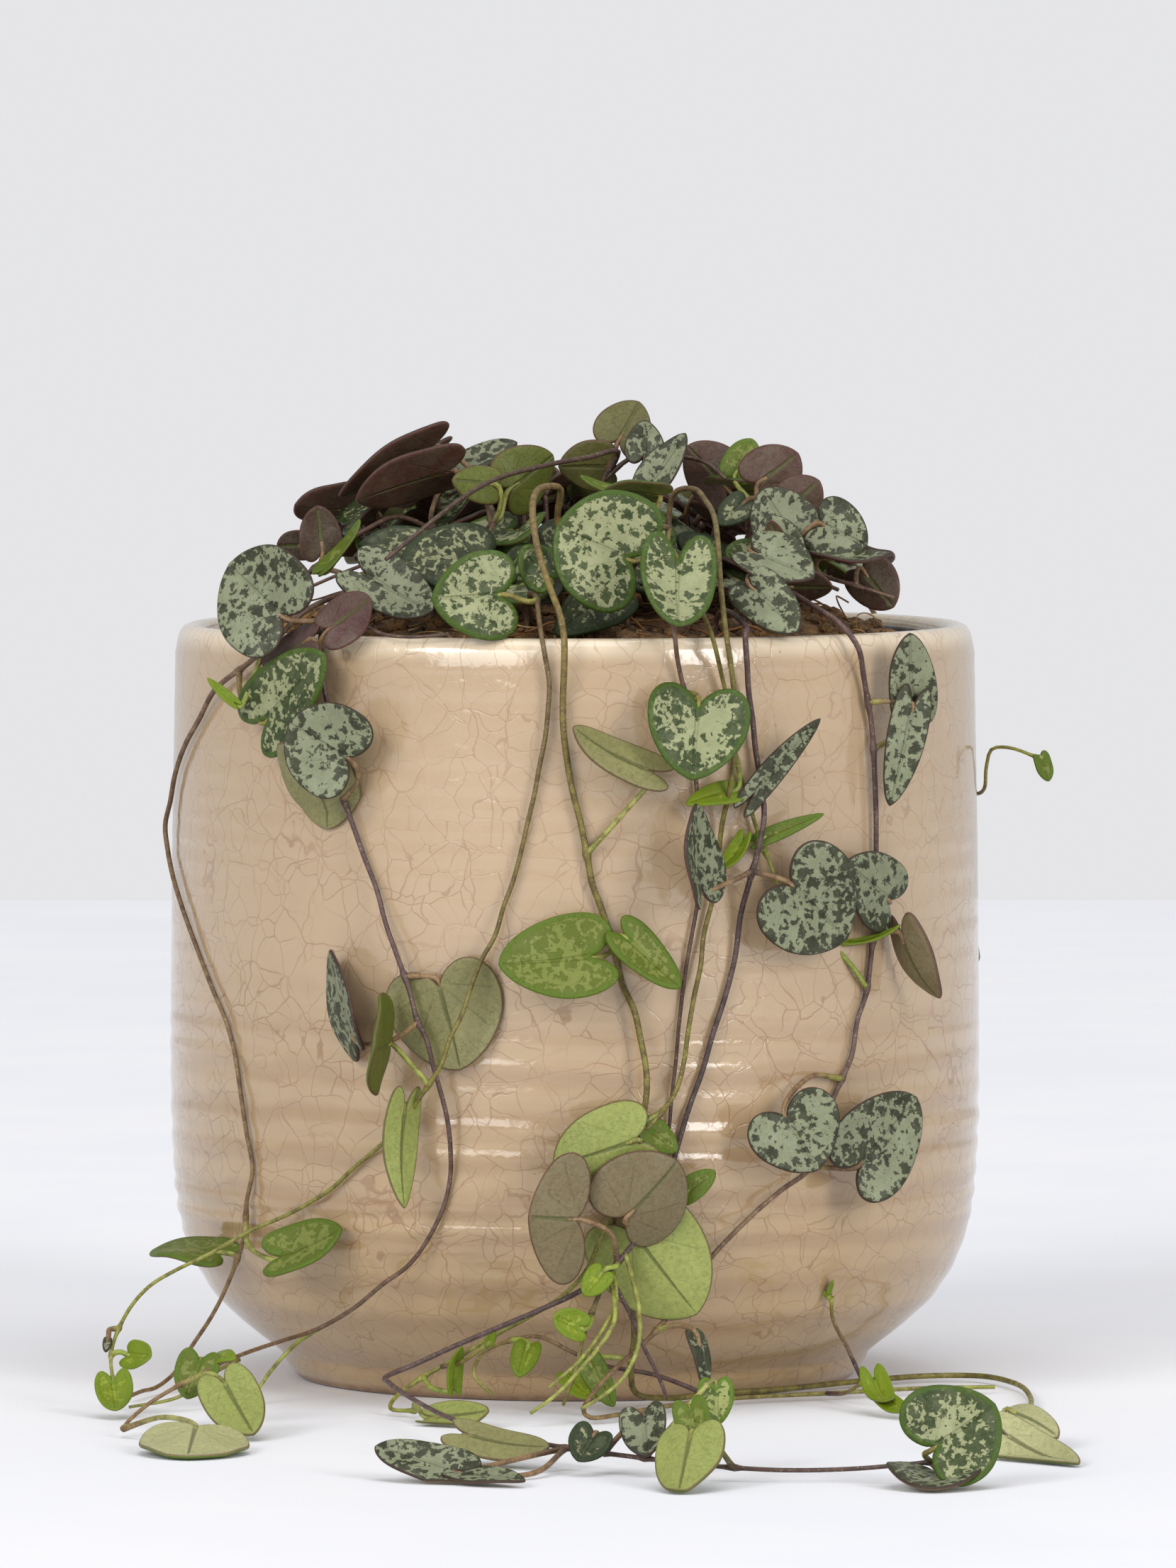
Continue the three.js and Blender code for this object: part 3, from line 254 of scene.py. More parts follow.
grown("stem_right_arch", radius=0.51, colours=[BROWN, OLIVE, OLIVE, SAP], stems=[
    [(16, -20, 126), (16, -20, 145), (17, -22, 154), (20.5, -27, 155), (22.5, -33, 153),
     (23.7, -44, 150.8), (24.2, -54, 147), (24.5, -62, 141.5), (24.9, -68, 136.5),
     (25.5, -71.5, 131.5), (26.2, -70, 127), (26.8, -69.3, 122), (27, -70, 116.5), (26.8, -71, 111),
     (26, -70.5, 105.5), (24.7, -67.5, 99), (24, -67.5, 92), (23.2, -67.8, 87), (21.7, -68, 81),
     (21.2, -69.5, 76), (20, -71, 70.5), (19, -71.7, 64.5), (18.3, -71.8, 59.5), (17, -72.5, 55),
     (14.5, -75, 51.5), (11, -76.5, 47.5), (9, -76.5, 42.5), (7, -76.5, 36.5), (4.5, -75.5, 31),
     (2, -74.5, 25), (-2, -73, 20.5), (-7.5, -70.5, 16.8), (-13.5, -68, 13.3), (-19.5, -66, 9.5),
     (-25.5, -65, 6), (-30, -67, 3), (-31, -72, 1.2), (-27, -75, 1.2)],
    [(-22.5, -65.5, 7.7), (-19, -70, 9), (-15, -72, 12)],
], leaves=[
    ((9.7, -79, 47), (-3.7, -78, 42.6), 14.5, (-1, 8, 0), "leafy lime"),
    ((12.4, -76, 48.7), (17.2, -74, 45), 5.5, (0, -7, 4), "leafy lime"),
    ((-23.6, -88, 1.3), (-14.1, -94, 2.8), 7, (0, 6, -5), "leafy lime"),
    ((18.7, -73, 37.9), (23.7, -72, 41.6), 4.5, (2, -6, 3), "leafy lime"),
    ((-20.7, -68, 5), (-19.8, -69.5, 12), 3.5, (5, -6, 1), "grass lime"),
    ((-14.5, -72.3, 12.5), (-13.5, -73, 15), 1.8, (0, -7, 1), "grass lime"),
])
grown("stem_right_dark", radius=0.52, colours=[PURPLE, DARK, PURPLE, UMBER],
      branches=[[UMBER, OLIVE, OLIVE], [PURPLE, PURPLE], [SAP, LIME]], stems=[
    [(24, -45, 126), (24, -44.7, 133), (25.5, -50, 135), (28.5, -58, 133.3), (29, -63.5, 132.4),
     (28.7, -67, 131.7), (29, -67, 127), (29.3, -65.5, 122), (30, -65, 117), (30.5, -64.5, 112),
     (31.4, -65.5, 106.5), (31.9, -67.5, 101), (31, -68.7, 96), (29.7, -68.5, 91),
     (28, -66.5, 84.5), (27, -66, 77), (25.2, -66.5, 70), (23.2, -67.5, 64), (21.5, -68, 58),
     (19.3, -68.7, 52), (17.5, -69.2, 46), (16, -70, 41), (14, -72, 36.5), (11.5, -75.5, 32),
     (8.5, -77.5, 28), (5.5, -78, 24.8), (0.5, -78, 21.5), (-6, -78, 18.5), (-13, -78, 15.5),
     (-20.5, -77, 12.2), (-27, -77, 9.2), (-31.5, -80, 7.6), (-31, -90, 7.4), (-27, -106, 6.4),
     (-21, -124, 5.2), (-12.5, -142, 4.2), (-1.5, -157, 3.6), (10, -166, 3), (21.5, -173, 2.4),
     (33, -176, 2), (44.5, -176, 2.2), (57, -179, 3.6)],
    [(5.5, -78, 24.8), (3.5, -80.5, 20), (1.5, -82, 14.5), (0, -83, 8.5), (-2, -84, 3)],
    [(5.5, -78, 24.8), (9, -79, 18.5), (11.5, -79.5, 12.5), (14, -79, 7.5), (15.5, -77.5, 3.5)],
    [(5.5, -78, 24.8), (6.5, -82, 21), (6.5, -85, 17), (3.5, -87, 12.5), (0, -88, 8.5),
     (-3.5, -88.5, 5), (-7.5, -89, 2.2)],
    [(6.5, -79, 25), (6.8, -82, 20.1), (4.6, -85, 15.7), (0.5, -87.5, 10.6), (-4.3, -88.5, 6.5)],
    [(8.5, -77.5, 28), (9.9, -79.5, 23), (10.8, -81, 18.8), (10.6, -82, 12.9), (8.2, -84, 7.8),
     (4, -87, 4.5), (1.1, -89, 3)],
], leaves=[
    ((20.7, -77, 90), (19.5, -78, 103.8), 14, (9, -4, 0), "silver plum"),
    ((36.7, -67, 89.2), (46, -60.5, 79.8), 19.7, (2, -8, 1), "silver plum"),
    ((0.1, -83, 34.2), (-7.9, -84, 34.8), 22.5, (2, 7, 0), "silver ash"),
    ((9.1, -80, 34.7), (17.5, -79.5, 43.7), 17, (-2, 7, 1), "silver ash"),
    ((9.8, -75, 31.2), (20.6, -74, 17.2), 19.5, (-1, 7, 2), "young lime"),
    ((-19.4, -177, 1.9), (-32.2, -172, 5.2), 9, (0, -5, 6), "silver sage"),
    ((-17.1, -150, 4.5), (-3.8, -158, 2.7), 8, (0, 5, -6), "young sage"),
    ((3, -165, 6.3), (0.4, -168, 2.3), 7, (0, -6, 4), "marbled sage"),
    ((11.1, -163, 9.1), (11.7, -169, 3.1), 8, (-2, -7, 3), "silver sage"),
    ((18.5, -184, 8.3), (16.5, -195, 0.2), 11.5, (2, 6, -2), "leafy lime"),
    ((22.7, -161, 13.9), (22.9, -163, 7.8), 6, (0, -6, 1), "young sage"),
    ((57.7, -184, 6.6), (67.2, -181, 13), 17.9, (1, -7, 3), "bright lime"),
    ((57.9, -182, 1.9), (56.4, -193, 0.4), 16, (0, -2, 9), "silver sage"),
    ((-17.7, -178, 1.6), (-7.9, -185, 1.1), 7, (0, -3, 9), "silver ash"),
    ((4.5, -82, 25), (1.5, -83.5, 21.5), 4.8, (-1, -7, 2), "grass lime"),
    ((0.8, -85, 16.2), (-3.9, -86.5, 18.2), 5.5, (-1, -7, 3), "grass lime"),
    ((18.5, -178, 11.9), (19.9, -184, 6.7), 6, (-1, -7, 2), "leafy lime"),
])
grown("stem_right_outer", radius=0.5, colours=[PURPLE, PURPLE, TAN, SAP], stems=[
    [(30, -37, 126), (30, -37.5, 135), (32.5, -41, 138.8), (36, -45, 138.3), (41, -49, 135.5),
     (45, -52.5, 132.9), (48, -54, 129), (49, -51.5, 124), (49.7, -50.7, 120), (50.3, -50, 116.5),
     (50.7, -49.8, 112), (51, -49.6, 106), (51.2, -49.5, 100), (51.2, -49.5, 93.5),
     (51.2, -49.7, 87), (51, -50, 82), (50.5, -50, 77.5), (49.5, -51, 70), (48, -52.5, 65.5),
     (47, -53.5, 59.5), (45, -55, 55), (43.5, -56.5, 51.5), (43, -57, 47), (42, -57.5, 43),
     (39, -60, 40), (35, -63, 37.5), (29.5, -65.7, 33), (22.5, -69, 26), (18.5, -70.5, 20.5),
     (15, -72.3, 16), (11.5, -75, 12.5), (6, -79.5, 8), (1.5, -82.5, 2.5), (2.5, -86, 1.2),
     (7, -82, 1.2), (12, -73, 1.2), (18, -64, 1.2), (24, -56.5, 1.2), (32, -51, 1.2),
     (43, -46, 1.2), (50, -42, 1.2), (60, -37, 1.2), (72, -35, 1.2)],
    [(50, -42, 1.2), (48.5, -44, 4.5), (46.5, -46, 9), (44, -48, 14), (43, -49, 18)],
    [(43, -46, 1.2), (46, -55, 2.2), (48.8, -61.5, 4.6)],
    [(24, -56.5, 1.2), (18, -58, 4), (13, -61, 6), (4, -64, 8), (-1, -66, 10.5), (-6.5, -67, 13),
     (-12, -67.5, 12), (-16, -70.5, 10), (-17, -73, 7), (-14, -75, 4)],
], leaves=[
    ((57.2, -47.5, 118.8), (56.5, -50.5, 131.5), 9, (3, -8, 1), "silver sage"),
    ((57.2, -50.5, 118), (53.5, -52, 101.9), 7, (2, -8, 1), "silver sage"),
    ((53.1, -50.5, 86), (46.1, -59, 92.5), 13, (4, -7, 1), "silver plum"),
    ((55.4, -50.5, 79.6), (61.1, -48.5, 68.1), 9, (6, 5, 1), "silver ash"),
    ((35.7, -68, 50.2), (40.9, -69, 41.2), 16.5, (2, -8, 1), "silver plum"),
    ((48.4, -59.4, 41.8), (58.2, -51, 52.4), 16, (3, -8, 0), "silver plum"),
    ((20.7, -77.3, 13.3), (22.5, -79.2, 5.2), 4.5, (6, -6, 0), "silver sage"),
    ((50.7, -66, 4.9), (52.8, -76, 1), 5, (0, -6, 5), "grass lime"),
    ((52.3, -72, 2.6), (55.8, -80, 0.9), 4, (0, -5, 5), "grass lime"),
    ((42.6, -49.5, 18.7), (42.4, -49.7, 21.2), 1.8, (0, -7, 0), "grass lime"),
    ((-8, -70, 11.5), (-9.5, -74, 7), 5, (-1, -7, 2), "grass lime"),
    ((-0.6, -69, 6), (3.3, -74, 2.6), 5, (0, -6, 5), "grass lime"),
    ((45.8, -53, 78.4), (55.5, -51, 80.1), 2.3, (0, -3, 8), "grass lime"),
])
grown("crown_left", radius=0.49, colours=[BROWN, UMBER], stems=[
    [(-20, -12, 126), (-20, -12, 134), (-20, -12, 141), (-24, -16, 147), (-30, -20, 150),
     (-36, -28, 148), (-42, -34, 144), (-46, -38, 140.5), (-49.5, -41, 137.5)],
    [(-20, -12, 140), (-16, -20, 147), (-14, -26, 149), (-16, -34, 146), (-20, -38, 142.5),
     (-27, -44, 140.5), (-33, -47, 140), (-37, -53, 137.5), (-37, -58, 134), (-32.5, -62, 131.6),
     (-27, -64.8, 131.2), (-21, -66.3, 131.8)],
], leaves=[
    ((-49.8, -56, 134.7), (-58.6, -48, 142.9), 19, (-5, -8, 2), "silver plum"),
    ((-43.2, -36, 145), (-44, -36, 152.5), 7.5, (-1, 8, -1), "silver brown"),
    ((-46, -31, 145.5), (-51, -29, 145.5), 6, (0, 7, 3), "silver brown"),
    ((-41.8, -40.5, 142), (-35.8, -39, 149.5), 6, (-7, -3, 6), "leafy moss"),
    ((-25.1, -14, 161.7), (-40.5, -16, 153.1), 14, (-5, 4, 8), "silver maroon"),
    ((-22.7, -20, 157.9), (-37.9, -23, 153.4), 14, (-1, 6, 7), "silver maroon"),
    ((-21, -6, 157), (-10.5, -5, 163.5), 9, (-3, -5, 7), "silver plum"),
    ((-14.3, -27, 155.7), (-21.1, -28, 156.7), 7, (1, 7, -2), "leafy moss"),
    ((-10.7, -21, 155.2), (-3.7, -17, 160.7), 12, (0, 7, 3), "leafy moss"),
    ((-25.5, -38, 145.5), (-37, -39, 146), 10, (-1, -5, 7), "marbled plum"),
    ((-16.2, -43, 143.5), (-29.7, -47, 143.5), 16, (0, -7, 6), "marbled plum"),
    ((-35.3, -49.5, 140.8), (-23.8, -56, 134.3), 11, (-3, -6, 6), "silver plum"),
])
grown("crown_centre", radius=0.52, colours=[UMBER, UMBER], stems=[
    [(3, -10, 126), (3, -10, 145), (5, -10, 156), (7.5, -12, 161), (2.3, -18, 160.2),
     (-3.8, -25, 159.3), (-13.4, -35.5, 157), (-19.4, -43.5, 153.8), (-25.4, -52, 149.3),
     (-32, -57.5, 144)],
    [(5, -10, 156), (10, -11, 160), (18.2, -12, 160.2), (23, -15, 159), (26, -18, 156.5)],
    [(3, -10, 145), (6, -20, 150), (9, -30, 150.5), (11, -37, 149.5), (13.5, -43, 149),
     (16, -47, 149)],
], leaves=[
    ((7.7, -7, 163), (11.2, -4, 169.5), 10.5, (-1, 8, -1), "silver olive"),
    ((5.1, -8.5, 158.5), (-2.9, -8, 158.5), 10, (0, 7, 3), "silver olive"),
    ((12, -14, 160.5), (12, -13, 166.5), 7, (0, -8, 1), "silver moss"),
    ((13.4, -18, 156.1), (19.4, -17, 164.1), 7, (-3, -6, 2), "silver moss"),
    ((8.9, -57, 144.2), (-3.2, -57, 149.7), 21, (0, -9, 1), "bright moss"),
    ((13.5, -38, 154.7), (5, -42, 155.9), 8, (0, 4, 8), "bright moss"),
    ((17.2, -66, 143.6), (17.1, -78, 131.9), 13, (1, -8, 2), "bright moss"),
    ((8, -23, 154), (0.5, -25, 156.5), 4, (0, -4, 8), "leafy lime"),
])
grown("crown_right", radius=0.49, colours=[UMBER, BROWN], stems=[
    [(30, -8, 126), (30, -8, 140), (30, -14, 149), (31, -20, 152.5)],
    [(30, -8, 140), (34, -22, 143.5), (36, -30, 143.5), (38, -37, 142.5), (38.5, -42, 141.5)],
    [(36, -30, 143.5), (42, -33, 140.5), (49, -36, 138.5), (54.5, -38, 136.8)],
], leaves=[
    ((26, -10, 155), (19.5, -7, 162), 11, (0, 8, 2), "silver maroon"),
    ((28, -14, 157.5), (30.5, -12, 163.5), 7, (-1, -7, 4), "leafy lime"),
    ((32, -20, 156), (38.5, -20, 161), 11, (0, 8, -1), "silver maroon"),
    ((37.5, -26, 152.5), (42, -26, 156.5), 8.5, (0, 8, -1), "silver maroon"),
    ((37, -33, 147.2), (32, -31, 155.2), 12, (0, -8, 2), "silver plum"),
    ((42.5, -36, 149), (50, -36, 145.5), 11.5, (1, -8, 2), "silver plum"),
    ((35, -42, 144.5), (33, -40.5, 151), 9, (0, -6, 4), "silver plum"),
    ((31, -50, 144.5), (40.5, -54, 140.5), 13, (-1, -5, 8), "silver brown"),
    ((36, -42, 139), (44, -43, 139), 8, (0, 6, 5), "silver brown"),
    ((30.1, -57, 139.1), (37.6, -61, 132.1), 9.5, (-3, -6, 6), "silver brown"),
    ((43, -38, 143.5), (54, -40, 143), 8, (0, -2, 9), "silver brown"),
    ((49.5, -34, 141), (54.5, -35.5, 135), 9, (2, 8, 0), "silver brown"),
    ((29, -26, 152.5), (24.8, -30, 149), 6, (0, -6, 4), "marbled plum"),
    ((34.5, -45.5, 145), (33.3, -46.5, 150.5), 4, (1, 6, -2), "silver brown"),
])


# ------------------------------------------------------------------ clear of the pot and the surface
def between(profile, height):
    """The radius of a profile of (radius, height) points at a height."""
    for (low_radius, low), (high_radius, high) in zip(profile, profile[1:]):
        if height <= high:
            return low_radius + (high_radius - low_radius) * max(0.0, (height - low) / (high - low))
    return profile[-1][0]


def soil_top(radius):
    """Height of the soil's smooth dome."""
    share = min(1.0, radius / SOIL_RADIUS)
    return SOIL_MIDDLE - (SOIL_MIDDLE - SOIL_EDGE) * share ** 4


def clear(point, reach):
    """Moves a point until what reaches `reach` round it clears the pot, the soil and the surface."""
    x, y, z = (float(value) for value in point)
    radius = math.hypot(x, y)
    rim_middle = POT_RADIUS - POT_WALL / 2 - 0.5
    if z < GROW_POT_TOP - 6 or (radius > rim_middle and z < POT_HEIGHT):
        slope = 1.4 if z < SHOULDER else 1.0
        least = between(POT_OUTSIDE, z) + (reach + GAP) * slope
        if radius < least:
            x, y = x * least / radius, y * least / radius
    elif SOIL_RADIUS < radius <= rim_middle:
        z = max(z, POT_HEIGHT + reach + GAP)
    elif radius <= SOIL_RADIUS:
        z = max(z, soil_top(radius) + reach + GAP)
    return np.array([x, y, max(z, reach + GAP)])


# ------------------------------------------------------------------ the sides that trail behind
def draw(seed):
    """A repeatable source of random values between two limits."""
    state = seed

    def value(low, high):
        nonlocal state
        state = (state * 1664525 + 1013904223) % 4294967296
        return low + (high - low) * state / 4294967296
    return value


def around(angle, radius, height):
    """A point at an angle about the pot's axis."""
    return (radius * math.cos(angle), radius * math.sin(angle), height)


HANGING_LOOKS = ("silver plum", "bright sage", "young lime")
CROWN_LOOKS = ("silver plum", "silver maroon", "marbled plum", "bright sage", "marbled brown",
               "bright moss")


def hanging_stem(bearing, drop, seed):
    """A stem that comes over the rim and hangs down the glaze, with pairs of leaves."""
    random = draw(seed)
    finish = draw(seed + 100)
    start = math.radians(bearing)
    route = [around(start, radius, height) for radius, height in OVER_RIM]
    leaves = []
    phase = random(0, 6)
    count = round(drop / HANG_STEP)
    for i in range(1, count + 1):
        height = HANG_START - i * HANG_STEP
        angle = start + 0.13 * (math.sin(phase + i * 0.45) - math.sin(phase))
        route.append(around(angle, between(POT_OUTSIDE, height) + 1.4, height))
        if i % 4 == 2:
            size = random(0.85, 1.1) * (16 - 7 * i / count)
            for side in (-1, 1):
                turn = angle + side * size * 0.45 / POT_RADIUS
                lean = random(0.1, 0.5) * size
                base = around(turn, POT_RADIUS + 3.2, height + random(-1, 3))
                tip = around(turn + side * size * 0.62 / POT_RADIUS, POT_RADIUS + 5, base[2] - lean)
                face = (math.cos(turn) * 8, math.sin(turn) * 8, 2)
                look = HANGING_LOOKS[int(finish(0, 1.5) + 1.4 * i / count)]
                leaves.append((base, tip, size, face, look))
    return {"radius": REAR_RADIUS, "colours": [BROWN, TAN, SAP], "stems": [route], "leaves": leaves}


def mound(radius):
    """Height to which the crown's leaves stand over the soil."""
    return SOIL_MIDDLE + 17 * (1 - (radius / 62) ** 2)


def crown_behind(leaf_count, seed):
    """The far half of the crown: stems fan out over the soil, and leaves stand over them."""
    random = draw(seed)
    finish = draw(seed + 100)
    stems = []
    for bearing in (25, 75, 120, 160):
        angle = math.radians(bearing)
        run = [around(angle, radius, mound(radius) - 6) for radius in (20, 31, 41, 51)]
        stems.append([(-4, 8, BURIED_END), (-4, 8, 134), (-4, 8, 140), *run])
    leaves = []
    for k in range(leaf_count):
        angle = 0.1 + ((k * 0.618) % 1) * 2.95
        radius = 12 + 44 * math.sqrt((k + 0.5) / leaf_count)
        size = random(14, 18)
        height = mound(radius) + random(-1, 3)
        base = around(angle, radius, height)
        turned = angle + random(-0.1, 0.1)
        tip = around(turned, radius + size * 0.62, height - random(1, 5))
        face = (math.cos(angle) * 3, math.sin(angle) * 3, 7)
        leaves.append((base, tip, size, face, crown_look(finish)))
    return {"radius": REAR_RADIUS, "colours": [UMBER, BROWN], "stems": stems, "leaves": leaves}


def crown_look(finish):
    """The two finishes of a leaf in the crown."""
    return CROWN_LOOKS[int(finish(0, len(CROWN_LOOKS)))]


# ------------------------------------------------------------------ meshes in the making
ATTRIBUTE_KINDS = {1: ("FLOAT", "value"), 3: ("FLOAT_VECTOR", "vector"), 4: ("FLOAT_COLOR", "color")}


def linked(name, data):
    """An object in the scene that shows a mesh, a light or a camera."""
    made = bpy.data.objects.new(name, data)
    bpy.context.scene.collection.objects.link(made)
    return made


class Shape:
    """The points, faces and values of one piece, in millimetres."""

    def __init__(self):
        self.points = []
        self.faces = []
        self.values = {}
        self.count = 0

    def add(self, points, faces, **values):
        """Adds points and faces, with values that each are one for all points or one for each."""
        points = np.asarray(points, float)
        self.faces += [tuple(i + self.count for i in face) for face in faces]
        self.points.append(points)
        self.count += len(points)
        for name, value in values.items():
            value = np.asarray(value, float)
            if len(value.shape) == 0 or len(value) != len(points):
                value = np.repeat(value[None, ...], len(points), axis=0)
            self.values.setdefault(name, []).append(value)

    def piece(self, name, material, slot, *nodes):
        """Makes the object, with smooth faces, and lets it stand for the solids it replaces, if any."""
        mesh = bpy.data.meshes.new(name)
        mesh.from_pydata(np.vstack(self.points) * MM, [], self.faces)
        mesh.polygons.foreach_set("use_smooth", [True] * len(mesh.polygons))
        for key, values in self.values.items():
            values = np.concatenate(values)
            width = 1 if values.ndim == 1 else values.shape[1]
            kind, field = ATTRIBUTE_KINDS[width]
            attribute = mesh.attributes.new(key, kind, "POINT")
            attribute.data.foreach_set(field, values.astype(np.float32).ravel())
        mesh.materials.append(finish_named(material))
        mesh.update()
        made = linked(name, mesh)
        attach(made, BODY)
        if nodes:
            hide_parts(*nodes)


def unit(vector):
    """A vector of length 1, also from one that is nearly 0."""
    return vector / max(1e-9, float(np.linalg.norm(vector)))


def smooth_line(route, step):
    """A smooth line through a route's points, cut into even steps of about `step`."""
    points = [np.asarray(point, float) for point in route]
    padded = [2 * points[0] - points[1], *points, 2 * points[-1] - points[-2]]
    line = []
    for p0, p1, p2, p3 in zip(padded, padded[1:], padded[2:], padded[3:]):
        gaps = (p1 - p0, p2 - p1, p3 - p2)
        d0, d1, d2 = (max(1e-4, float(np.linalg.norm(gap))) ** 0.5 for gap in gaps)
        leave = ((p1 - p0) / d0 - (p2 - p0) / (d0 + d1) + (p2 - p1) / d1) * d1
        arrive = ((p2 - p1) / d1 - (p3 - p1) / (d1 + d2) + (p3 - p2) / d2) * d1
        for t in np.linspace(0, 1, 12, endpoint=False):
            cube = 2 * p1 - 2 * p2 + leave + arrive
            square = -3 * p1 + 3 * p2 - 2 * leave - arrive
            line.append(p1 + leave * t + square * t * t + cube * t ** 3)
    line.append(points[-1])
    line = np.array(line)
    along = np.concatenate([[0], np.cumsum(np.linalg.norm(np.diff(line, axis=0), axis=1))])
    count = max(2, round(along[-1] / step))
    even = np.linspace(0, along[-1], count + 1)
    return np.stack([np.interp(even, along, line[:, axis]) for axis in range(3)], axis=1)


def tube(shape, line, radii, sides, tints):
    """A round rod along a line, closed at both ends, with a tint at each point of the line."""
    tangents = np.gradient(line, axis=0)
    side = np.cross(tangents[0], (0.3, 0.2, 1.0))    # any direction that no stem starts in
    rings = []
    turns = np.linspace(0, 2 * math.pi, sides, endpoint=False)
    for centre, tangent, radius in zip(line, tangents, radii):
        tangent = unit(tangent)
        side = unit(side - tangent * np.dot(side, tangent))
        other = np.cross(tangent, side)
        rings.append([centre + radius * (math.cos(a) * side + math.sin(a) * other) for a in turns])
    points = [*np.array(rings).reshape(-1, 3), line[0], line[-1]]
    first, last = len(points) - 2, len(points) - 1
    faces = []
    for i in range(len(line) - 1):
        for j in range(sides):
            k = (j + 1) % sides
            low, high = i * sides, (i + 1) * sides
            faces.append((low + j, low + k, high + k, high + j))
    top = (len(line) - 1) * sides
    for j in range(sides):
        k = (j + 1) % sides
        faces.append((first, k, j))
        faces.append((last, top + j, top + k))
    tints = np.asarray(tints, float)
    shape.add(points, faces, tint=np.vstack([np.repeat(tints, sides, axis=0), tints[:1], tints[-1:]]))


def turned(shape, profile, segments, radius_at=None, **values_of):
    """A closed body of revolution. The profile runs from the axis out and back to the axis."""
    angles = np.linspace(-math.pi, math.pi, segments, endpoint=False)
    points = [(0.0, 0.0, profile[0][1])]
    for radius, height in profile[1:-1]:
        for angle in angles:
            reach = radius_at(radius, height, angle) if radius_at else radius
            points.append((reach * math.cos(angle), reach * math.sin(angle), height))
    points.append((0.0, 0.0, profile[-1][1]))
    faces = []
    rings = len(profile) - 2
    for j in range(segments):
        k = (j + 1) % segments
        faces.append((0, 1 + k, 1 + j))
        for i in range(rings - 1):
            low, high = 1 + i * segments, 1 + (i + 1) * segments
            faces.append((low + j, low + k, high + k, high + j))
        top = 1 + (rings - 1) * segments
        faces.append((len(points) - 1, top + j, top + k))
    points = np.array(points)
    shape.add(points, faces, **{name: rule(points) for name, rule in values_of.items()})


def blend_colours(colours, share):
    """The colour at a share of the way along a list of colours."""
    at = share * (len(colours) - 1)
    low = min(int(at), len(colours) - 2)
    return np.array(colours[low]) * (1 - at + low) + np.array(colours[low + 1]) * (at - low)


# ------------------------------------------------------------------ one leaf
# Half of a heart, from the notch to the tip: share of the length along, share of half the width out.
HALF_HEART = [(0, 0), (-0.12, 0.09), (-0.22, 0.26), (-0.275, 0.5), (-0.23, 0.75), (-0.07, 0.94),
              (0.16, 1.0), (0.4, 0.965), (0.61, 0.85), (0.785, 0.65), (0.91, 0.4), (0.975, 0.17), (1, 0)]
MIDDLE_SHARE = 0.34               # the rings of a blade close on this share of its length
RIM_INSETS = ((0.0, 0.0), (0.09, 0.05), (0.3, 0.11), (0.7, 0.18))
INNER_RINGS = (0.8, 0.6, 0.4, 0.2)
BLADE_THICKNESS = 0.85
RIM_ROUNDING = 0.6
SMALL_BLADE = 9                   # blades narrower than this are thinner too


def heart_outline(length, width, random):
    """The outline of a blade as (along, across) points, from the notch round to the notch."""
    lobe = random(0.85, 1.2)
    point = random(0, 0.22)
    half = []
    for along, across in HALF_HEART:
        stretch = lobe if along < 0 else 1.0
        narrow = 1 - point * max(0.0, along - 0.3) * 1.6
        half.append((along * stretch * length, across * narrow * width / 2, 0))
    line = smooth_line(half, max(0.4, width / 22))
    left = line[1:-1] * (1, -1, 1)
    return np.vstack([line, left[::-1]])[:, :2]


def rim_distance(places, outline):
    """How far each place on a blade is from its outline."""
    runs = np.roll(outline, -1, axis=0) - outline
    offsets = places[:, None, :] - outline[None, :, :]
    share = np.clip((offsets * runs).sum(2) / np.maximum(1e-9, (runs ** 2).sum(1)), 0, 1)
    return np.linalg.norm(offsets - share[:, :, None] * runs[None, :, :], axis=2).min(1)


def blade_faces(count, rows):
    """Faces between `rows` rings of `count` points and a middle point, above and below."""
    last = rows * count

    def below(i):
        """The place on the underside that matches one on the upper side."""
        return i if i < count else i + last + 1 - count

    faces = []
    for j in range(count):
        k = (j + 1) % count
        for i in range(rows - 1):
            quad = (i * count + j, i * count + k, (i + 1) * count + k, (i + 1) * count + j)
            faces.append(quad[::-1])
            faces.append(tuple(below(corner) for corner in quad))
        inner = (rows - 1) * count
        faces.append((inner + k, inner + j, last))
        faces.append((below(inner + j), below(inner + k), below(last)))
    return faces


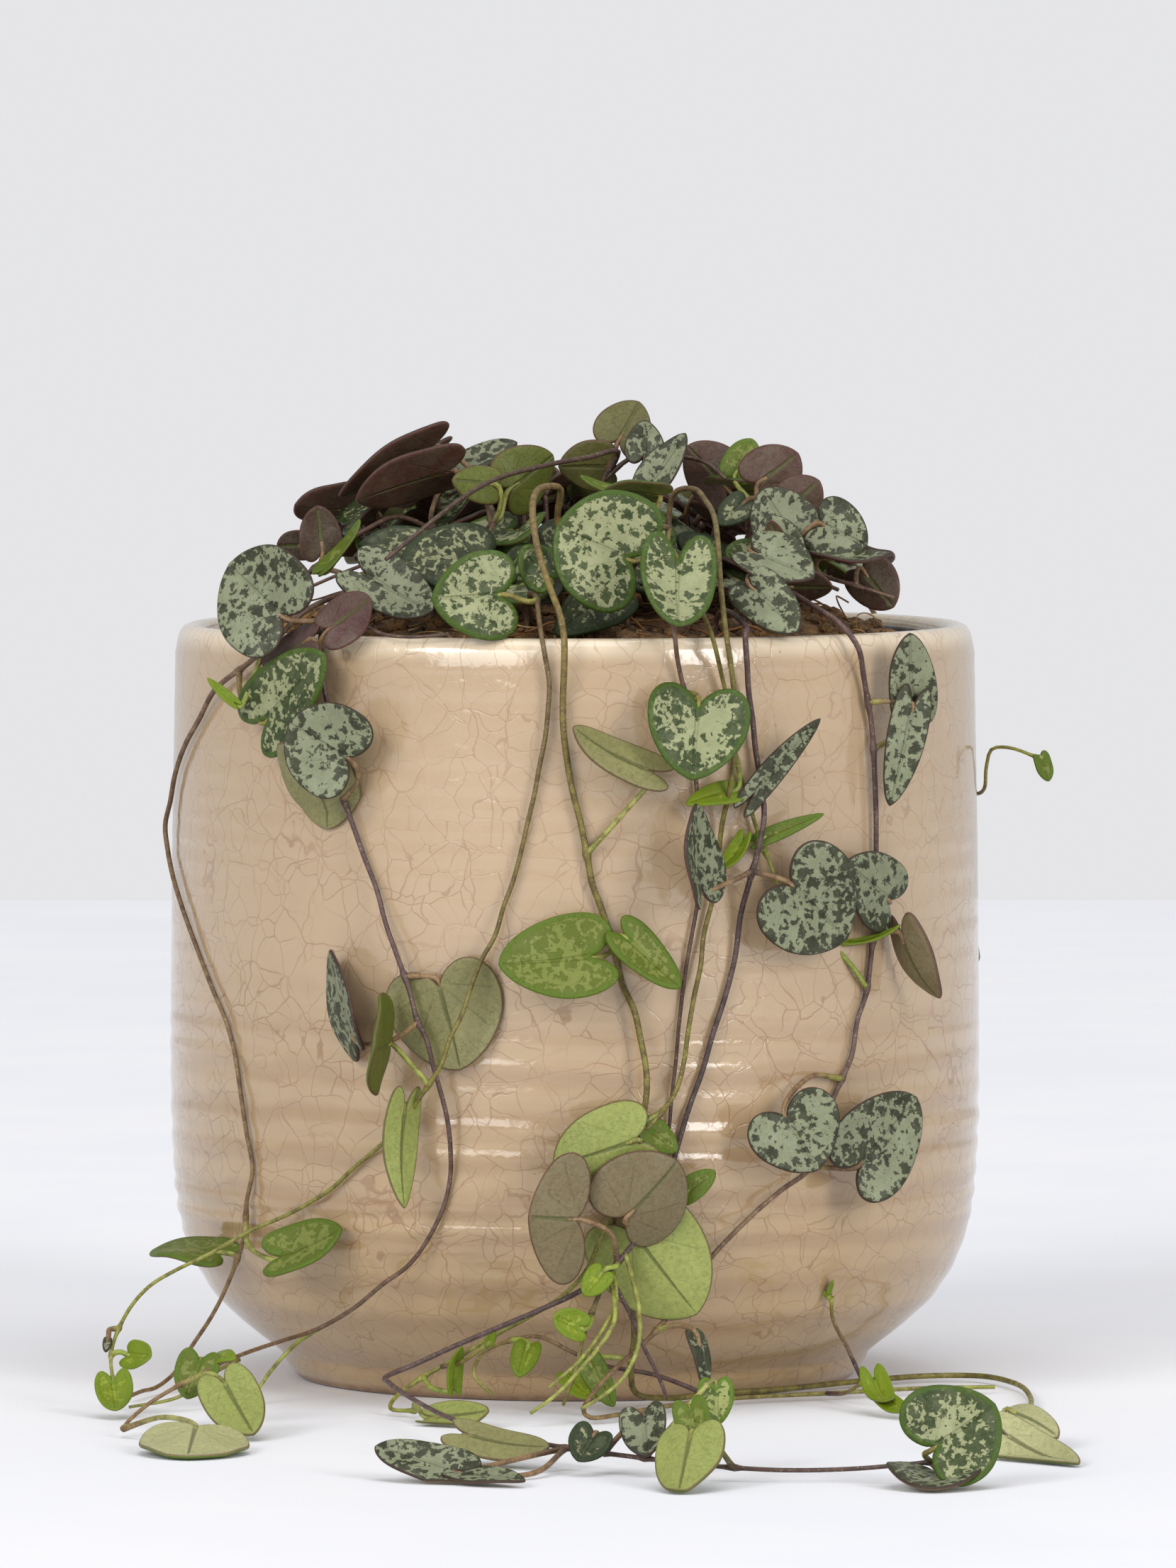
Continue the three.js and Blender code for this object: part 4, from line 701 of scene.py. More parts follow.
def blade(shape, base, tip, width, face, look, seed):
    """A fleshy heart with a rounded rim, folded a little along its midrib and gently waved."""
    random = draw(seed)
    upper, under = look.split()
    upper = UPPER[upper]
    length = float(np.linalg.norm(tip - base))
    along = unit(tip - base)
    up = unit(face - along * np.dot(face, along))
    out = np.cross(up, along)
    outline = heart_outline(length, width, random)
    centre = np.array([MIDDLE_SHARE * length, 0.0])
    small = min(1.0, width / SMALL_BLADE)
    ways = centre - outline
    reach = np.linalg.norm(ways, axis=1)[:, None]
    rings = [outline + ways * np.minimum(most, inset * small / reach) for inset, most in RIM_INSETS]
    rings += [centre - ways * share for share in INNER_RINGS]
    count = len(outline)
    places = np.vstack([*rings, centre[None, :]])
    rim = rim_distance(places, outline)
    rim[:count] = 0.0
    u, v = places[:, 0], places[:, 1]
    phases = [random(0, 6.28) for _ in range(3)]
    spread = np.minimum(1.0, np.abs(v) / (width / 2))
    wave = 0.035 * width * spread * np.sin(5.2 * u / length + phases[0] + np.sign(v) * phases[1])
    cup = random(-0.05, 0.07) * width * (np.hypot(u - centre[0], v) / (width / 2)) ** 2
    lift = BLADE_FOLD * (np.sqrt(v * v + 0.5) - 0.4) + wave + cup - 0.12 * np.exp(-rim / 0.35)
    middle = base + np.outer(u, along) + np.outer(v, out) + np.outer(lift, up)
    middle = np.array([clear(point, BLADE_THICKNESS / 2) for point in middle])
    share = 1 - np.minimum(1.0, rim / (RIM_ROUNDING * small))
    thick = 0.5 * BLADE_THICKNESS * max(0.6, small) * np.sqrt(np.maximum(0.0, 1 - share * share))
    top = middle + np.outer(thick, up)
    bottom = middle - np.outer(thick, up)
    points = np.vstack([top, bottom[count:]])
    both = [*range(len(top)), *range(count, len(top))]
    place = np.stack([u, v, np.full(len(u), seed % 97 * 1.7)], axis=1)
    side = np.concatenate([np.ones(len(top)), np.zeros(len(bottom) - count)])
    side[:count] = 0.5
    shape.add(points, blade_faces(count, len(rings)), place=place[both], rim=rim[both], side=side,
              cover=upper["cover"], silver=upper["silver"], blotch=upper["blotch"],
              margin=upper["rim"], under=UNDER[under])


# ------------------------------------------------------------------ materials
RING_PAINTED_SHADE = rgb(146, 118, 88)
RIM_PAINTED_LIGHT = rgb(218, 202, 176)
CRAZE_HALO = rgb(176, 142, 108)
IRON_SPECK = rgb(128, 98, 70)
BARE_CLAY_AND_PAINTED_SHADE = rgb(156, 124, 92)
BAND_PITCH = 7.2                  # distance between the warmer, darker rings of painted shade on the low glaze
WIDE_CELLS = 2.1                  # how much wider the large cells of the crazing are

PLASTIC = rgb(26, 25, 25)
PLASTIC_DUST = rgb(62, 56, 50)
PLASTIC_SCUFF = rgb(96, 88, 80)

BARK_SHADE = rgb(176, 164, 160)
BARK_SPECK = rgb(206, 192, 172)

RIM_THREAD = rgb(58, 38, 34)
UNDER_SHADE = rgb(190, 186, 176)
UNDER_MIDRIB = rgb(74, 78, 36)
UNDER_RIM = rgb(80, 44, 38)
RIB_ANGLE = 0.62                  # between two ribs that spread from the notch

FLOOR_CLOUD = rgb(228, 230, 236)
ROOM_COLOUR = rgb(237, 238, 241)


class Wiring:
    """The nodes and links of one material or node group. Sizes are in millimetres."""

    def __init__(self, tree):
        self.tree = tree

    def node(self, kind, inputs=None, **settings):
        made = self.tree.nodes.new("ShaderNode" + kind)
        for name, value in settings.items():
            setattr(made, name, value)
        for name, value in (inputs or {}).items():
            self.feed(made.inputs[name], value)
        return made

    def feed(self, socket, value):
        """Links a socket to another node's output, or sets it to a plain value."""
        if isinstance(value, bpy.types.NodeSocket):
            self.tree.links.new(value, socket)
        else:
            socket.default_value = value

    def math(self, operation, *values):
        return self.node("Math", dict(enumerate(values)), operation=operation).outputs[0]

    def plus(self, first, second):
        return self.math("ADD", first, second)

    def minus(self, first, second):
        return self.math("SUBTRACT", first, second)

    def times(self, first, second):
        return self.math("MULTIPLY", first, second)

    def vector_math(self, operation, *values):
        return self.node("VectorMath", dict(enumerate(values)), operation=operation).outputs[0]

    def axes(self, vector):
        return self.node("SeparateXYZ", {0: vector}).outputs

    def blend(self, share, first, second, how="MIX"):
        """One colour turned into another."""
        inputs = {0: share, 6: first, 7: second}
        return self.node("Mix", inputs, data_type="RGBA", blend_type=how).outputs[2]

    def over(self, below, above, mask, strength):
        """A colour laid over another where the mask is, at a strength."""
        return self.blend(self.times(mask, strength), below, above)

    def step(self, value, low, high, start=0.0, end=1.0):
        """A soft step from `start` at `low` to `end` at `high`."""
        inputs = {0: value, 1: low, 2: high, 3: start, 4: end}
        return self.node("MapRange", inputs, interpolation_type="SMOOTHSTEP").outputs[0]

    def cloud(self, place, size, detail=2.0, rough=0.5):
        """The shade and the colour of a noise with features about `size` across."""
        inputs = {"Vector": place, "Scale": 1 / size, "Detail": detail, "Roughness": rough}
        return self.node("TexNoise", inputs).outputs

    def cells(self, place, size, feature):
        inputs = {"Vector": place, "Scale": 1 / size}
        return self.node("TexVoronoi", inputs, feature=feature).outputs["Distance"]

    def edges(self, place, size):
        """How far it is to the nearest edge between cells about `size` wide."""
        return self.times(self.cells(place, size, "DISTANCE_TO_EDGE"), size)

    def specks(self, place, size, full, none, strength=1.0):
        """Specks one in each cell: full up to a share of the cell's size, none from another on."""
        return self.step(self.cells(place, size, "F1"), full, none, strength, 0.0)

    def warped(self, place, size, reach):
        """A place pushed about by noise, to make straight patterns wander."""
        push = self.vector_math("SUBTRACT", self.cloud(place, size)[1], (0.5, 0.5, 0.5))
        wide = self.vector_math("MULTIPLY", push, (reach, reach, reach))
        return self.vector_math("ADD", place, wide)

    def attribute(self, name, output="Fac"):
        return self.node("Attribute", attribute_name=name).outputs[output]

    def group(self, name, **inputs):
        return self.node("Group", inputs, node_tree=bpy.data.node_groups[name]).outputs[0]

    def mottle(self, place, scale, spread):
        return self.group("Mottle", Place=place, Scale=scale, Spread=spread)

    def grain(self, place, scale, pits):
        return self.group("Fine Grain", Place=place, Scale=scale, Pits=pits)

    def surface(self, colour, roughness, height, relief):
        """Feeds the shader its colour, its roughness and a bump from a height, `relief` deep."""
        shader = self.tree.nodes["Principled BSDF"]
        self.feed(shader.inputs["Base Color"], colour)
        self.feed(shader.inputs["Roughness"], roughness)
        bump = self.node("Bump", {"Height": height, "Distance": relief * MM})
        self.feed(shader.inputs["Normal"], bump.outputs[0])
        return shader.inputs


def new_group(name, output, **sockets):
    """An empty node group with one output. An input without a number takes a vector."""
    tree = bpy.data.node_groups.new(name, "ShaderNodeTree")
    for label, value in sockets.items():
        kind = "NodeSocketVector" if value is None else "NodeSocketFloat"
        made = tree.interface.new_socket(label, in_out="INPUT", socket_type=kind)
        if value is not None:
            made.default_value = value
    tree.interface.new_socket(output, in_out="OUTPUT", socket_type="NodeSocketFloat")
    return Wiring(tree), tree.nodes.new("NodeGroupInput").outputs


def finish_group(wiring, value):
    """Makes a value the output of a node group."""
    end = wiring.tree.nodes.new("NodeGroupOutput")
    wiring.feed(end.inputs[0], value)


def mottle_group():
    """Shade between 0 and 1 in soft patches with a finer patchiness in them."""
    wiring, (place, scale, spread, _) = new_group("Mottle", "Shade", Place=None, Scale=0.2, Spread=0.3)
    broad = wiring.node("TexNoise", {"Vector": place, "Scale": scale, "Detail": 4.0})
    finer = wiring.times(scale, 5.0)
    fine = wiring.node("TexNoise", {"Vector": place, "Detail": 2.0, "Scale": finer})
    both = wiring.plus(wiring.times(broad.outputs[0], 0.7), wiring.times(fine.outputs[0], 0.3))
    finish_group(wiring, wiring.step(both, wiring.minus(0.5, spread), wiring.plus(0.5, spread)))


def grain_group():
    """A height of fine grain with scattered pits."""
    wiring, (place, scale, pits, _) = new_group("Fine Grain", "Height", Place=None, Scale=2.0, Pits=0.3)
    fine = wiring.node("TexNoise", {"Vector": place, "Scale": scale, "Detail": 3.0})
    holes = wiring.node("TexVoronoi", {"Vector": place, "Scale": scale}).outputs["Distance"]
    holes = wiring.times(wiring.step(holes, 0.0, 0.35), pits)
    finish_group(wiring, wiring.plus(fine.outputs[0], holes))


def finish_named(name):
    """The material of that name, made the first time that it is asked for."""
    if name in bpy.data.materials:
        return bpy.data.materials[name]
    if "Mottle" not in bpy.data.node_groups:
        mottle_group()
        grain_group()
    material = bpy.data.materials.new(name)
    material.use_nodes = True
    wiring = Wiring(material.node_tree)
    metres = wiring.node("TexCoord").outputs["Object"]
    place = wiring.vector_math("MULTIPLY", metres, (1 / MM, 1 / MM, 1 / MM))
    make, settings = FINISHES[name]
    make(wiring, place, getattr(bpy.context.scene, settings))
    return material


def crackle_glaze(wiring, place, settings):
    """Warm cream glaze, crazed all over, with painted shade in greyer rings near the foot and painted
    light on the rim, and bare clay under it, darker as painted shade.
    """
    _, y, z = wiring.axes(place)
    sway = wiring.cloud(place, 14.0)[0]
    behind = wiring.step(wiring.plus(y, wiring.times(sway, 30.0)), 14.9, 15.1)
    sheets = {0: behind, 4: wiring.attribute("wall_front", "Vector"),
              5: wiring.attribute("wall_back", "Vector")}
    flat = wiring.node("Mix", sheets, data_type="VECTOR").outputs[1]
    bent = wiring.warped(wiring.warped(flat, 9.0, 5.0), 3.5, 1.0)
    cell = settings.crackle_size / MM
    wide_line = wiring.edges(bent, cell * WIDE_CELLS)
    fine_line = wiring.edges(bent, cell)
    # The small cells fade in and out in patches, and the large ones a little less.
    fading = wiring.step(wiring.cloud(flat, 11.0, 3.0)[0], 0.32, 0.56, 0.15, 1.0)
    presence = wiring.step(wiring.cloud(flat, 16.0, 2.0)[0], 0.34, 0.56, 0.35, 1.0)
    wide = wiring.times(wiring.step(wide_line, 0.03, 0.15, 0.9, 0.0), presence)
    fine = wiring.times(wiring.step(fine_line, 0.02, 0.12, 0.85, 0.0), fading)
    craze = wiring.math("MAXIMUM", wide, fine)
    craze = wiring.times(craze, wiring.step(z, 60.0, 115.0, 1.0, 0.65))
    halo = wiring.step(wide_line, 0.1, 0.7, 1.0, 0.0)
    low = wiring.step(z, 8.0, 78.0, 1.0, 0.0)
    body = wiring.blend(low, settings.glaze_colour, settings.low_colour)
    patches = wiring.mottle(place, scale=0.06, spread=0.16)
    body = wiring.over(body, settings.pale_colour, patches, 0.3)
    # Painted shade: darker rings across the low wall stand in for the shade of the throwing rings.
    level = wiring.plus(z, wiring.times(sway, 5.0))
    ring = wiring.math("SINE", wiring.times(level, 2 * math.pi / BAND_PITCH))
    bands = wiring.times(wiring.step(ring, -0.6, 1.0), wiring.step(z, 50.0, 80.0, 0.42, 0.0))
    body = wiring.blend(bands, body, RING_PAINTED_SHADE)
    # Painted light: the rim's top and lip are lighter, as where the light falls on them.
    body = wiring.over(body, RIM_PAINTED_LIGHT, wiring.step(z, 126.5, 130.0), 0.75)
    body = wiring.over(body, CRAZE_HALO, halo, 0.07)
    body = wiring.over(body, settings.crackle_colour, craze, 0.66)
    body = wiring.over(body, IRON_SPECK, wiring.specks(place, 6.0, full=0.02, none=0.055), 0.5)
    # The unglazed foot; its clay is also darkened as painted shade, for the dark line under the pot.
    bare = wiring.attribute("bare")
    clay = wiring.blend(wiring.mottle(place, scale=0.5, spread=0.2), IRON_SPECK, BARE_CLAY_AND_PAINTED_SHADE)
    glossy = wiring.plus(0.1, wiring.times(patches, 0.07))
    rough = wiring.math("MAXIMUM", glossy, wiring.times(bare, 0.85))
    height = wiring.minus(wiring.grain(place, scale=0.35, pits=0.1), wiring.times(craze, 0.14))
    inputs = wiring.surface(wiring.blend(bare, body, clay), rough, height, 0.16)
    inputs["Coat Weight"].default_value = 0.5
    inputs["Coat Roughness"].default_value = 0.06


def black_plastic(wiring, place, _):
    """Dull black plastic with dust and fine scuffs."""
    dust = wiring.mottle(place, scale=0.12, spread=0.18)
    long_way = wiring.vector_math("MULTIPLY", place, (1.0, 1.0, 0.08))
    scuffs = wiring.step(wiring.cloud(long_way, 0.7, 3.0)[0], 0.62, 0.7)
    colour = wiring.over(PLASTIC, PLASTIC_DUST, dust, 0.5)
    colour = wiring.over(colour, PLASTIC_SCUFF, scuffs, 0.35)
    rough = wiring.plus(0.42, wiring.times(dust, 0.3))
    wiring.surface(colour, rough, wiring.grain(place, scale=1.6, pits=0.2), 0.08)


def soil_finish(wiring, place, settings):
    """Damp dark compost with brown and orange bits."""
    tone = wiring.attribute("tone")
    broad = wiring.mottle(place, scale=0.28, spread=0.14)
    bits = wiring.specks(place, 1.5, full=0.2, none=0.75, strength=0.35)
    mixed = wiring.blend(broad, settings.dark_colour, settings.light_colour)
    mixed = wiring.blend(wiring.step(tone, 0.55, 1.0, 0.0, 0.6), mixed, settings.coir_colour)
    mixed = wiring.blend(bits, mixed, settings.coir_colour)
    rough = wiring.plus(0.75, wiring.times(broad, 0.2))
    wiring.surface(mixed, rough, wiring.grain(place, scale=1.4, pits=0.9), 0.6)


def coir_finish(wiring, place, settings):
    """Dry strands of coir."""
    streaks = wiring.mottle(place, scale=0.9, spread=0.2)
    colour = wiring.over(wiring.attribute("tint", "Color"), settings.dark_colour, streaks, 0.5)
    wiring.surface(colour, 0.8, wiring.grain(place, scale=5.0, pits=0.2), 0.1)


def stem_finish(wiring, place, _):
    """Thin succulent stems: streaky bark colours with pale specks and a faint sheen."""
    tint = wiring.attribute("tint", "Color")
    streaks = wiring.mottle(place, scale=0.55, spread=0.16)
    dark = wiring.blend(1.0, tint, BARK_SHADE, "MULTIPLY")
    colour = wiring.blend(streaks, tint, dark)
    specks = wiring.specks(place, 0.8, full=0.12, none=0.24)
    colour = wiring.over(colour, wiring.blend(0.5, colour, BARK_SPECK), specks, 0.4)
    rough = wiring.plus(0.45, wiring.times(streaks, 0.2))
    wiring.surface(colour, rough, wiring.grain(place, scale=2.2, pits=0.4), 0.12)


def leaf_finish(wiring, _, settings):
    """A silver blade with jagged green blotches and rim, and a plain tinted underside with its ribs."""
    spot = wiring.attribute("place", "Vector")
    rim = wiring.attribute("rim")
    top = wiring.step(wiring.attribute("side"), 0.45, 0.55)
    cover = wiring.attribute("cover")
    silver, blotch, margin, under = (
        wiring.attribute(name, "Color") for name in ("silver", "blotch", "margin", "under"))
    size = settings.blotch_size / MM
    u, v, _ = wiring.axes(spot)
    jag = wiring.minus(wiring.cloud(spot, 0.9, 4.0, 0.7)[0], 0.5)
    drift = wiring.minus(wiring.cloud(spot, 7.0, 1.0)[0], 0.5)
    inside = wiring.edges(wiring.warped(spot, 1.8, 1.6), size)
    inside = wiring.plus(inside, wiring.times(jag, 3.0))
    inside = wiring.plus(inside, wiring.times(drift, 1.6))
    # The blotches are cells with a silver edge between them, narrower where more is covered.
    greener = wiring.step(rim, 0.4, 3.4, 0.34, 0.0)
    covered = wiring.math("MINIMUM", 0.98, wiring.plus(cover, greener))
    edge = wiring.times(wiring.minus(1.0, wiring.math("SQRT", covered)), size * 0.5)
    blotched = wiring.step(wiring.minus(inside, edge), -0.04, 0.06)
    wide = wiring.step(cover, 0.37, 0.46, 0.14, 0.95)
    band = wiring.plus(rim, wiring.times(jag, wiring.plus(0.4, wide)))
    band = wiring.step(band, wide, wiring.plus(0.16, wide), 1.0, 0.0)
    flecks = wiring.specks(spot, 0.9, full=0.1, none=0.26)
    shaded = wiring.mottle(spot, scale=0.4, spread=0.18)
    pale = wiring.over(silver, blotch, shaded, 0.22)
    deep = wiring.over(blotch, silver, wiring.minus(1.0, shaded), 0.16)
    upper = wiring.blend(blotched, pale, deep)
    upper = wiring.over(upper, silver, flecks, 0.16)
    upper = wiring.over(upper, margin, band, 0.9)
    thread = wiring.step(rim, 0.1, 0.26, 0.8, 0.0)
    upper = wiring.blend(thread, upper, wiring.blend(wiring.step(cover, 0.36, 0.41), RIM_THREAD, margin))
    # Ribs: one along the middle, and a fan that spreads from the notch.
    turn = wiring.math("ARCTAN2", v, wiring.plus(u, 0.6))
    out = wiring.vector_math("MULTIPLY", spot, (1, 1, 0))
    far = wiring.node("VectorMath", {0: out}, operation="LENGTH").outputs["Value"]
    fan = wiring.math("ABSOLUTE", wiring.math("SINE", wiring.times(turn, math.pi / RIB_ANGLE)))
    fan = wiring.times(fan, wiring.times(far, 0.2))
    ribs = wiring.times(wiring.step(fan, 0.0, 0.3, 1.0, 0.0), wiring.step(rim, 0.8, 3.0))
    middle = wiring.plus(wiring.math("ABSOLUTE", v), wiring.times(jag, 0.4))
    middle = wiring.plus(middle, wiring.times(u, 0.024))
    middle = wiring.times(wiring.step(middle, 0.26, 0.6, 1.0, 0.0), wiring.step(rim, 0.1, 1.0))
    upper = wiring.over(upper, blotch, middle, 0.12)
    fade = wiring.mottle(spot, scale=0.22, spread=0.2)
    lower = wiring.over(under, wiring.blend(0.5, under, silver), fade, 0.4)
    dusty = wiring.mottle(spot, scale=1.4, spread=0.2)
    lower = wiring.over(lower, wiring.blend(1.0, under, UNDER_SHADE, "MULTIPLY"), dusty, 0.4)
    lower = wiring.over(lower, blotch, ribs, 0.2)
    lower = wiring.over(lower, UNDER_MIDRIB, middle, 0.7)
    lower = wiring.blend(wiring.step(rim, 0.12, 0.34, 0.7, 0.0), lower, UNDER_RIM)
    rough = wiring.plus(0.42, wiring.times(shaded, 0.16))
    grain = wiring.grain(spot, scale=2.4, pits=0.3)
    height = wiring.minus(wiring.times(grain, 0.4), wiring.times(middle, 0.8))
    height = wiring.minus(height, wiring.times(ribs, 0.3))
    height = wiring.plus(height, wiring.times(blotched, 0.25))
    inputs = wiring.surface(wiring.blend(top, lower, upper), rough, height, 0.18)
    inputs["Specular IOR Level"].default_value = 0.3


def floor_finish(wiring, place, settings):
    """A plain matt table top with very soft clouds in it."""
    cloudy = wiring.mottle(place, scale=0.004, spread=0.3)
    shader = wiring.tree.nodes["Principled BSDF"].inputs
    wiring.feed(shader["Base Color"], wiring.blend(cloudy, settings.floor_colour, FLOOR_CLOUD))
    shader["Roughness"].default_value = 0.7


FINISHES = {
    "crackle_glaze": (crackle_glaze, "heart_pot"),
    "black_plastic": (black_plastic, "heart_pot"),
    "damp_soil": (soil_finish, "heart_soil"),
    "coir_strands": (coir_finish, "heart_soil"),
    "trailing_stem": (stem_finish, "heart_leaves"),
    "heart_leaf": (leaf_finish, "heart_leaves"),
    "studio_floor": (floor_finish, "heart_stage"),
}


# ------------------------------------------------------------------ stems with their leaves
PETIOLE_RADIUS = 0.46
PETIOLE_SIDES = 8
STEM_SIDES = 10
STEM_STEP = 1.1
KNOT_SWELLING = 0.26
KNOT_LENGTH = 0.9
BRANCH_SHARE = 0.85               # how thick a side branch is beside its stem
TAPER = 0.3                       # how much thinner a stem is at its tip


def petiole(shape, knot, base, along, up, colour, stem_colour, bow):
    """The leaf stalk, from the stem in an easy curve to the notch and a little way under the blade."""
    reach = float(np.linalg.norm(base - knot))
    behind = float(np.dot(knot - base, along)) < 0
    under = base + along * min(1.4, 0.3 * reach + 0.3) - up * 0.12
    if behind:
        bend = (base + knot) / 2 - along * 0.2 * reach + np.cross(along, up) * bow * reach
        route = [knot, clear(bend, 0.6), base - along * min(1.2, 0.2 * reach), under]
    else:
        turn = base - along * 1.2 - up * 0.25
        route = [knot, clear((turn + knot) / 2 - along * 0.4, 0.6), turn, under]
    line = smooth_line(route, 0.7)
    share = np.linspace(0, 1, len(line))
    foot = 0.18 * np.exp(-share / 0.08)
    end = 0.14 * np.clip((share - 0.75) / 0.25, 0, 1)
    radii = PETIOLE_RADIUS + foot - end
    tints = [blend_colours([stem_colour, colour, colour, colour], s) for s in share]
    tube(shape, line, radii, PETIOLE_SIDES, tints)


def stalked_leaf(stalks, leaves, knot, leaf, stem_colour, bow, seed):
    """One leaf with its petiole. A leaf is written as in PLANT."""
    base, tip, width, face, look = leaf
    base, tip, face = (np.asarray(value, float) for value in (base, tip, face))
    along = unit(tip - base)
    up = unit(face - along * np.dot(face, along))
    colour = UPPER[look.split()[0]]["petiole"]
    petiole(stalks, knot, base, along, up, colour, stem_colour, bow)
    blade(leaves, base, tip, width, face, look, seed)


def swelling(line, knots):
    """How much thicker a stem is near the knots where its leaves grow."""
    if not len(knots):
        return np.zeros(len(line))
    gaps = np.linalg.norm(line[:, None, :] - np.array(knots)[None, :, :], axis=2).min(1)
    return KNOT_SWELLING * np.exp(-(gaps / KNOT_LENGTH) ** 2)


def leafy_stem(name, entry, number):
    """The stems of one solid with their petioles, and their leaves: two pieces that replace it."""
    stalks, leaves = Shape(), Shape()
    routes = [[start, *(clear(point, STEM_RADIUS) for point in rest)] for start, *rest in entry["stems"]]
    lines = [smooth_line(route, STEM_STEP) for route in routes]
    knots = [knot for route in routes for knot in smooth_line(route, KNOT_STEP)[1:]]
    used = []
    random = draw(number * 31 + 7)
    for k, leaf in enumerate(entry["leaves"]):
        base, tip = (np.asarray(value, float) for value in leaf[:2])
        along = unit(tip - base)
        ways = [knot - base for knot in knots]
        costs = [np.linalg.norm(way) + 1.5 * max(0, np.dot(way, along)) for way in ways]
        knot = knots[int(np.argmin(costs))]
        used.append(knot)
        bow = random(-0.2, 0.2)
        stalked_leaf(stalks, leaves, knot, leaf, entry["colours"][-1], bow, number * 40 + k + 1)
    tones = [entry["colours"], *entry.get("branches", ())]
    for place, line in enumerate(lines):
        share = np.linspace(0, 1, len(line))
        branch = BRANCH_SHARE if place else 1.0
        colours = tones[min(place, len(tones) - 1)]
        radii = entry["radius"] * branch * (1 - TAPER * share) + swelling(line, used)
        tints = [blend_colours(colours, s) for s in share]
        tube(stalks, line, radii, STEM_SIDES, tints)
    stalks.piece(name + "_stalks", "trailing_stem", "leaf", name)
    if entry["leaves"]:
        leaves.piece(name + "_blades", "heart_leaf", "leaf", name)


# ------------------------------------------------------------------ the pot, the grow pot and the soil
POT_SEGMENTS = 240
GROW_POT_SEGMENTS = 120
SOIL_SEGMENTS = 150
RINGS_MIDDLE = 37                 # the throwing rings are deepest at this height
RINGS_REACH = 22                  # how far above and below that they fade
RINGS_END = 126                   # the rim above this height is plain
BARE_HEIGHT = 0.9                 # the glaze ends this far above the base
SOIL_RINGS = 46                   # rings of points over the top of the soil
SOIL_REACH = SOIL_RADIUS - 1.2    # the lumpy bed stops a little short of the plastic wall
SOIL_DROP = 1                     # the lumps of the soil start this far under its smooth dome
CRUMB_SIDES = 7
COIR_COLOURS = [rgb(92, 56, 24), rgb(150, 100, 48), rgb(196, 158, 104)]


def pot_profile():
    """The glazed wall from the middle of the base round the rim to the middle of the floor."""
    outside = smooth_line([(radius, height, 0) for radius, height in POT_OUTSIDE[2:-2]], 0.55)[:, :2]
    rim = [(68.95, 128.6), (68.6, 129.7), (67.9, 130.6), (66.9, 131.0), (66.0, 130.8), (65.3, 130.1),
           (64.9, 128.9), (64.8, 127.2)]
    inside = smooth_line([(radius, height, 0) for radius, height in (
        (64.9, 126), (POT_RADIUS - POT_WALL, 84), (POT_RADIUS - POT_WALL, 44), (63.5, 27), (57, 13),
        (48, POT_FLOOR))], 3.0)[:, :2]
    foot = [(0, 0.7), (20, 0.7), (41.2, 0.7), (42.0, 0.5), (42.7, 0.05), (43.4, 0), (47.2, 0),
            (48.1, 0.15), (48.7, 0.7), (49.5, 1.6), (50.2, 2.6), (50.7, 3.6), (51.0, 4.4)]
    return [*foot, *map(tuple, outside), *rim, *map(tuple, inside), (20, POT_FLOOR), (0, POT_FLOOR)]


def make_pot(settings):
    """The glazed pot with its throwing rings and rolled rim."""
    shape = Shape()
    pitch = settings.ring_pitch / MM
    depth = settings.ring_depth / MM

    def thrown(radius, height, angle):
        """The rings that throwing leaves, deep near the foot and faint towards the rim."""
        if radius < FOOT_RADIUS + 2 or height > RINGS_END:
            return radius
        low = math.exp(-((height - RINGS_MIDDLE) / RINGS_REACH) ** 2)
        low *= min(1.0, max(0.0, height - 5) / 6)
        strength = depth * (0.1 + 0.9 * low)
        drift = 0.9 * math.sin(angle + 0.7) + 0.5 * math.sin(2 * angle + height * 0.05)
        uneven = 0.7 + 0.3 * math.sin(height * 0.41 + 1.3) + 0.25 * math.sin(height * 0.173 + angle)
        turn = 2 * math.pi * (height + drift + 1.1 * math.sin(height * 0.19)) / pitch
        return radius + strength * uneven * math.sin(turn) + 0.12 * math.sin(2 * angle + 1)

    def unrolled(points, ahead):
        """The wall laid flat, with its seam on the far side from `ahead`."""
        x, y, z = points.T
        along = POT_RADIUS * np.arctan2(x, ahead * y)
        return np.stack([along, z + np.hypot(x, y) * 0.5, np.zeros(len(points))], axis=1)

    turned(shape, pot_profile(), POT_SEGMENTS, thrown,
           wall_front=lambda points: unrolled(points, -1),
           wall_back=lambda points: unrolled(points, 1),
           bare=lambda points: (points[:, 2] < BARE_HEIGHT).astype(float))
    shape.piece("pot_glazed", "crackle_glaze", "glaze", "pot")


def make_grow_pot():
    """The moulded pot that holds the soil, with a short upright collar and a rounded lip."""
    shape = Shape()
    floor = POT_FLOOR + GAP
    neck = GROW_POT_RIM - 2
    lip = GROW_POT_RIM
    turned(shape, [
        (0, floor), (GROW_POT_BASE - 1, floor), (GROW_POT_BASE, floor + 1), (neck, GROW_POT_TOP - 7.4),
        (lip - 0.4, GROW_POT_TOP - 7), (lip, GROW_POT_TOP - 6.6), (lip, GROW_POT_TOP - 0.6),
        (lip - 0.25, GROW_POT_TOP - 0.15), (lip - 0.6, GROW_POT_TOP), (lip - 0.95, GROW_POT_TOP - 0.15),
        (lip - GROW_POT_WALL, GROW_POT_TOP - 0.6), (neck - GROW_POT_WALL, GROW_POT_TOP - 6),
        (GROW_POT_BASE - GROW_POT_WALL, floor + GROW_POT_WALL), (0, floor + GROW_POT_WALL)],
        GROW_POT_SEGMENTS)
    shape.piece("grow_pot_moulded", "black_plastic", "plastic", "grow_pot")


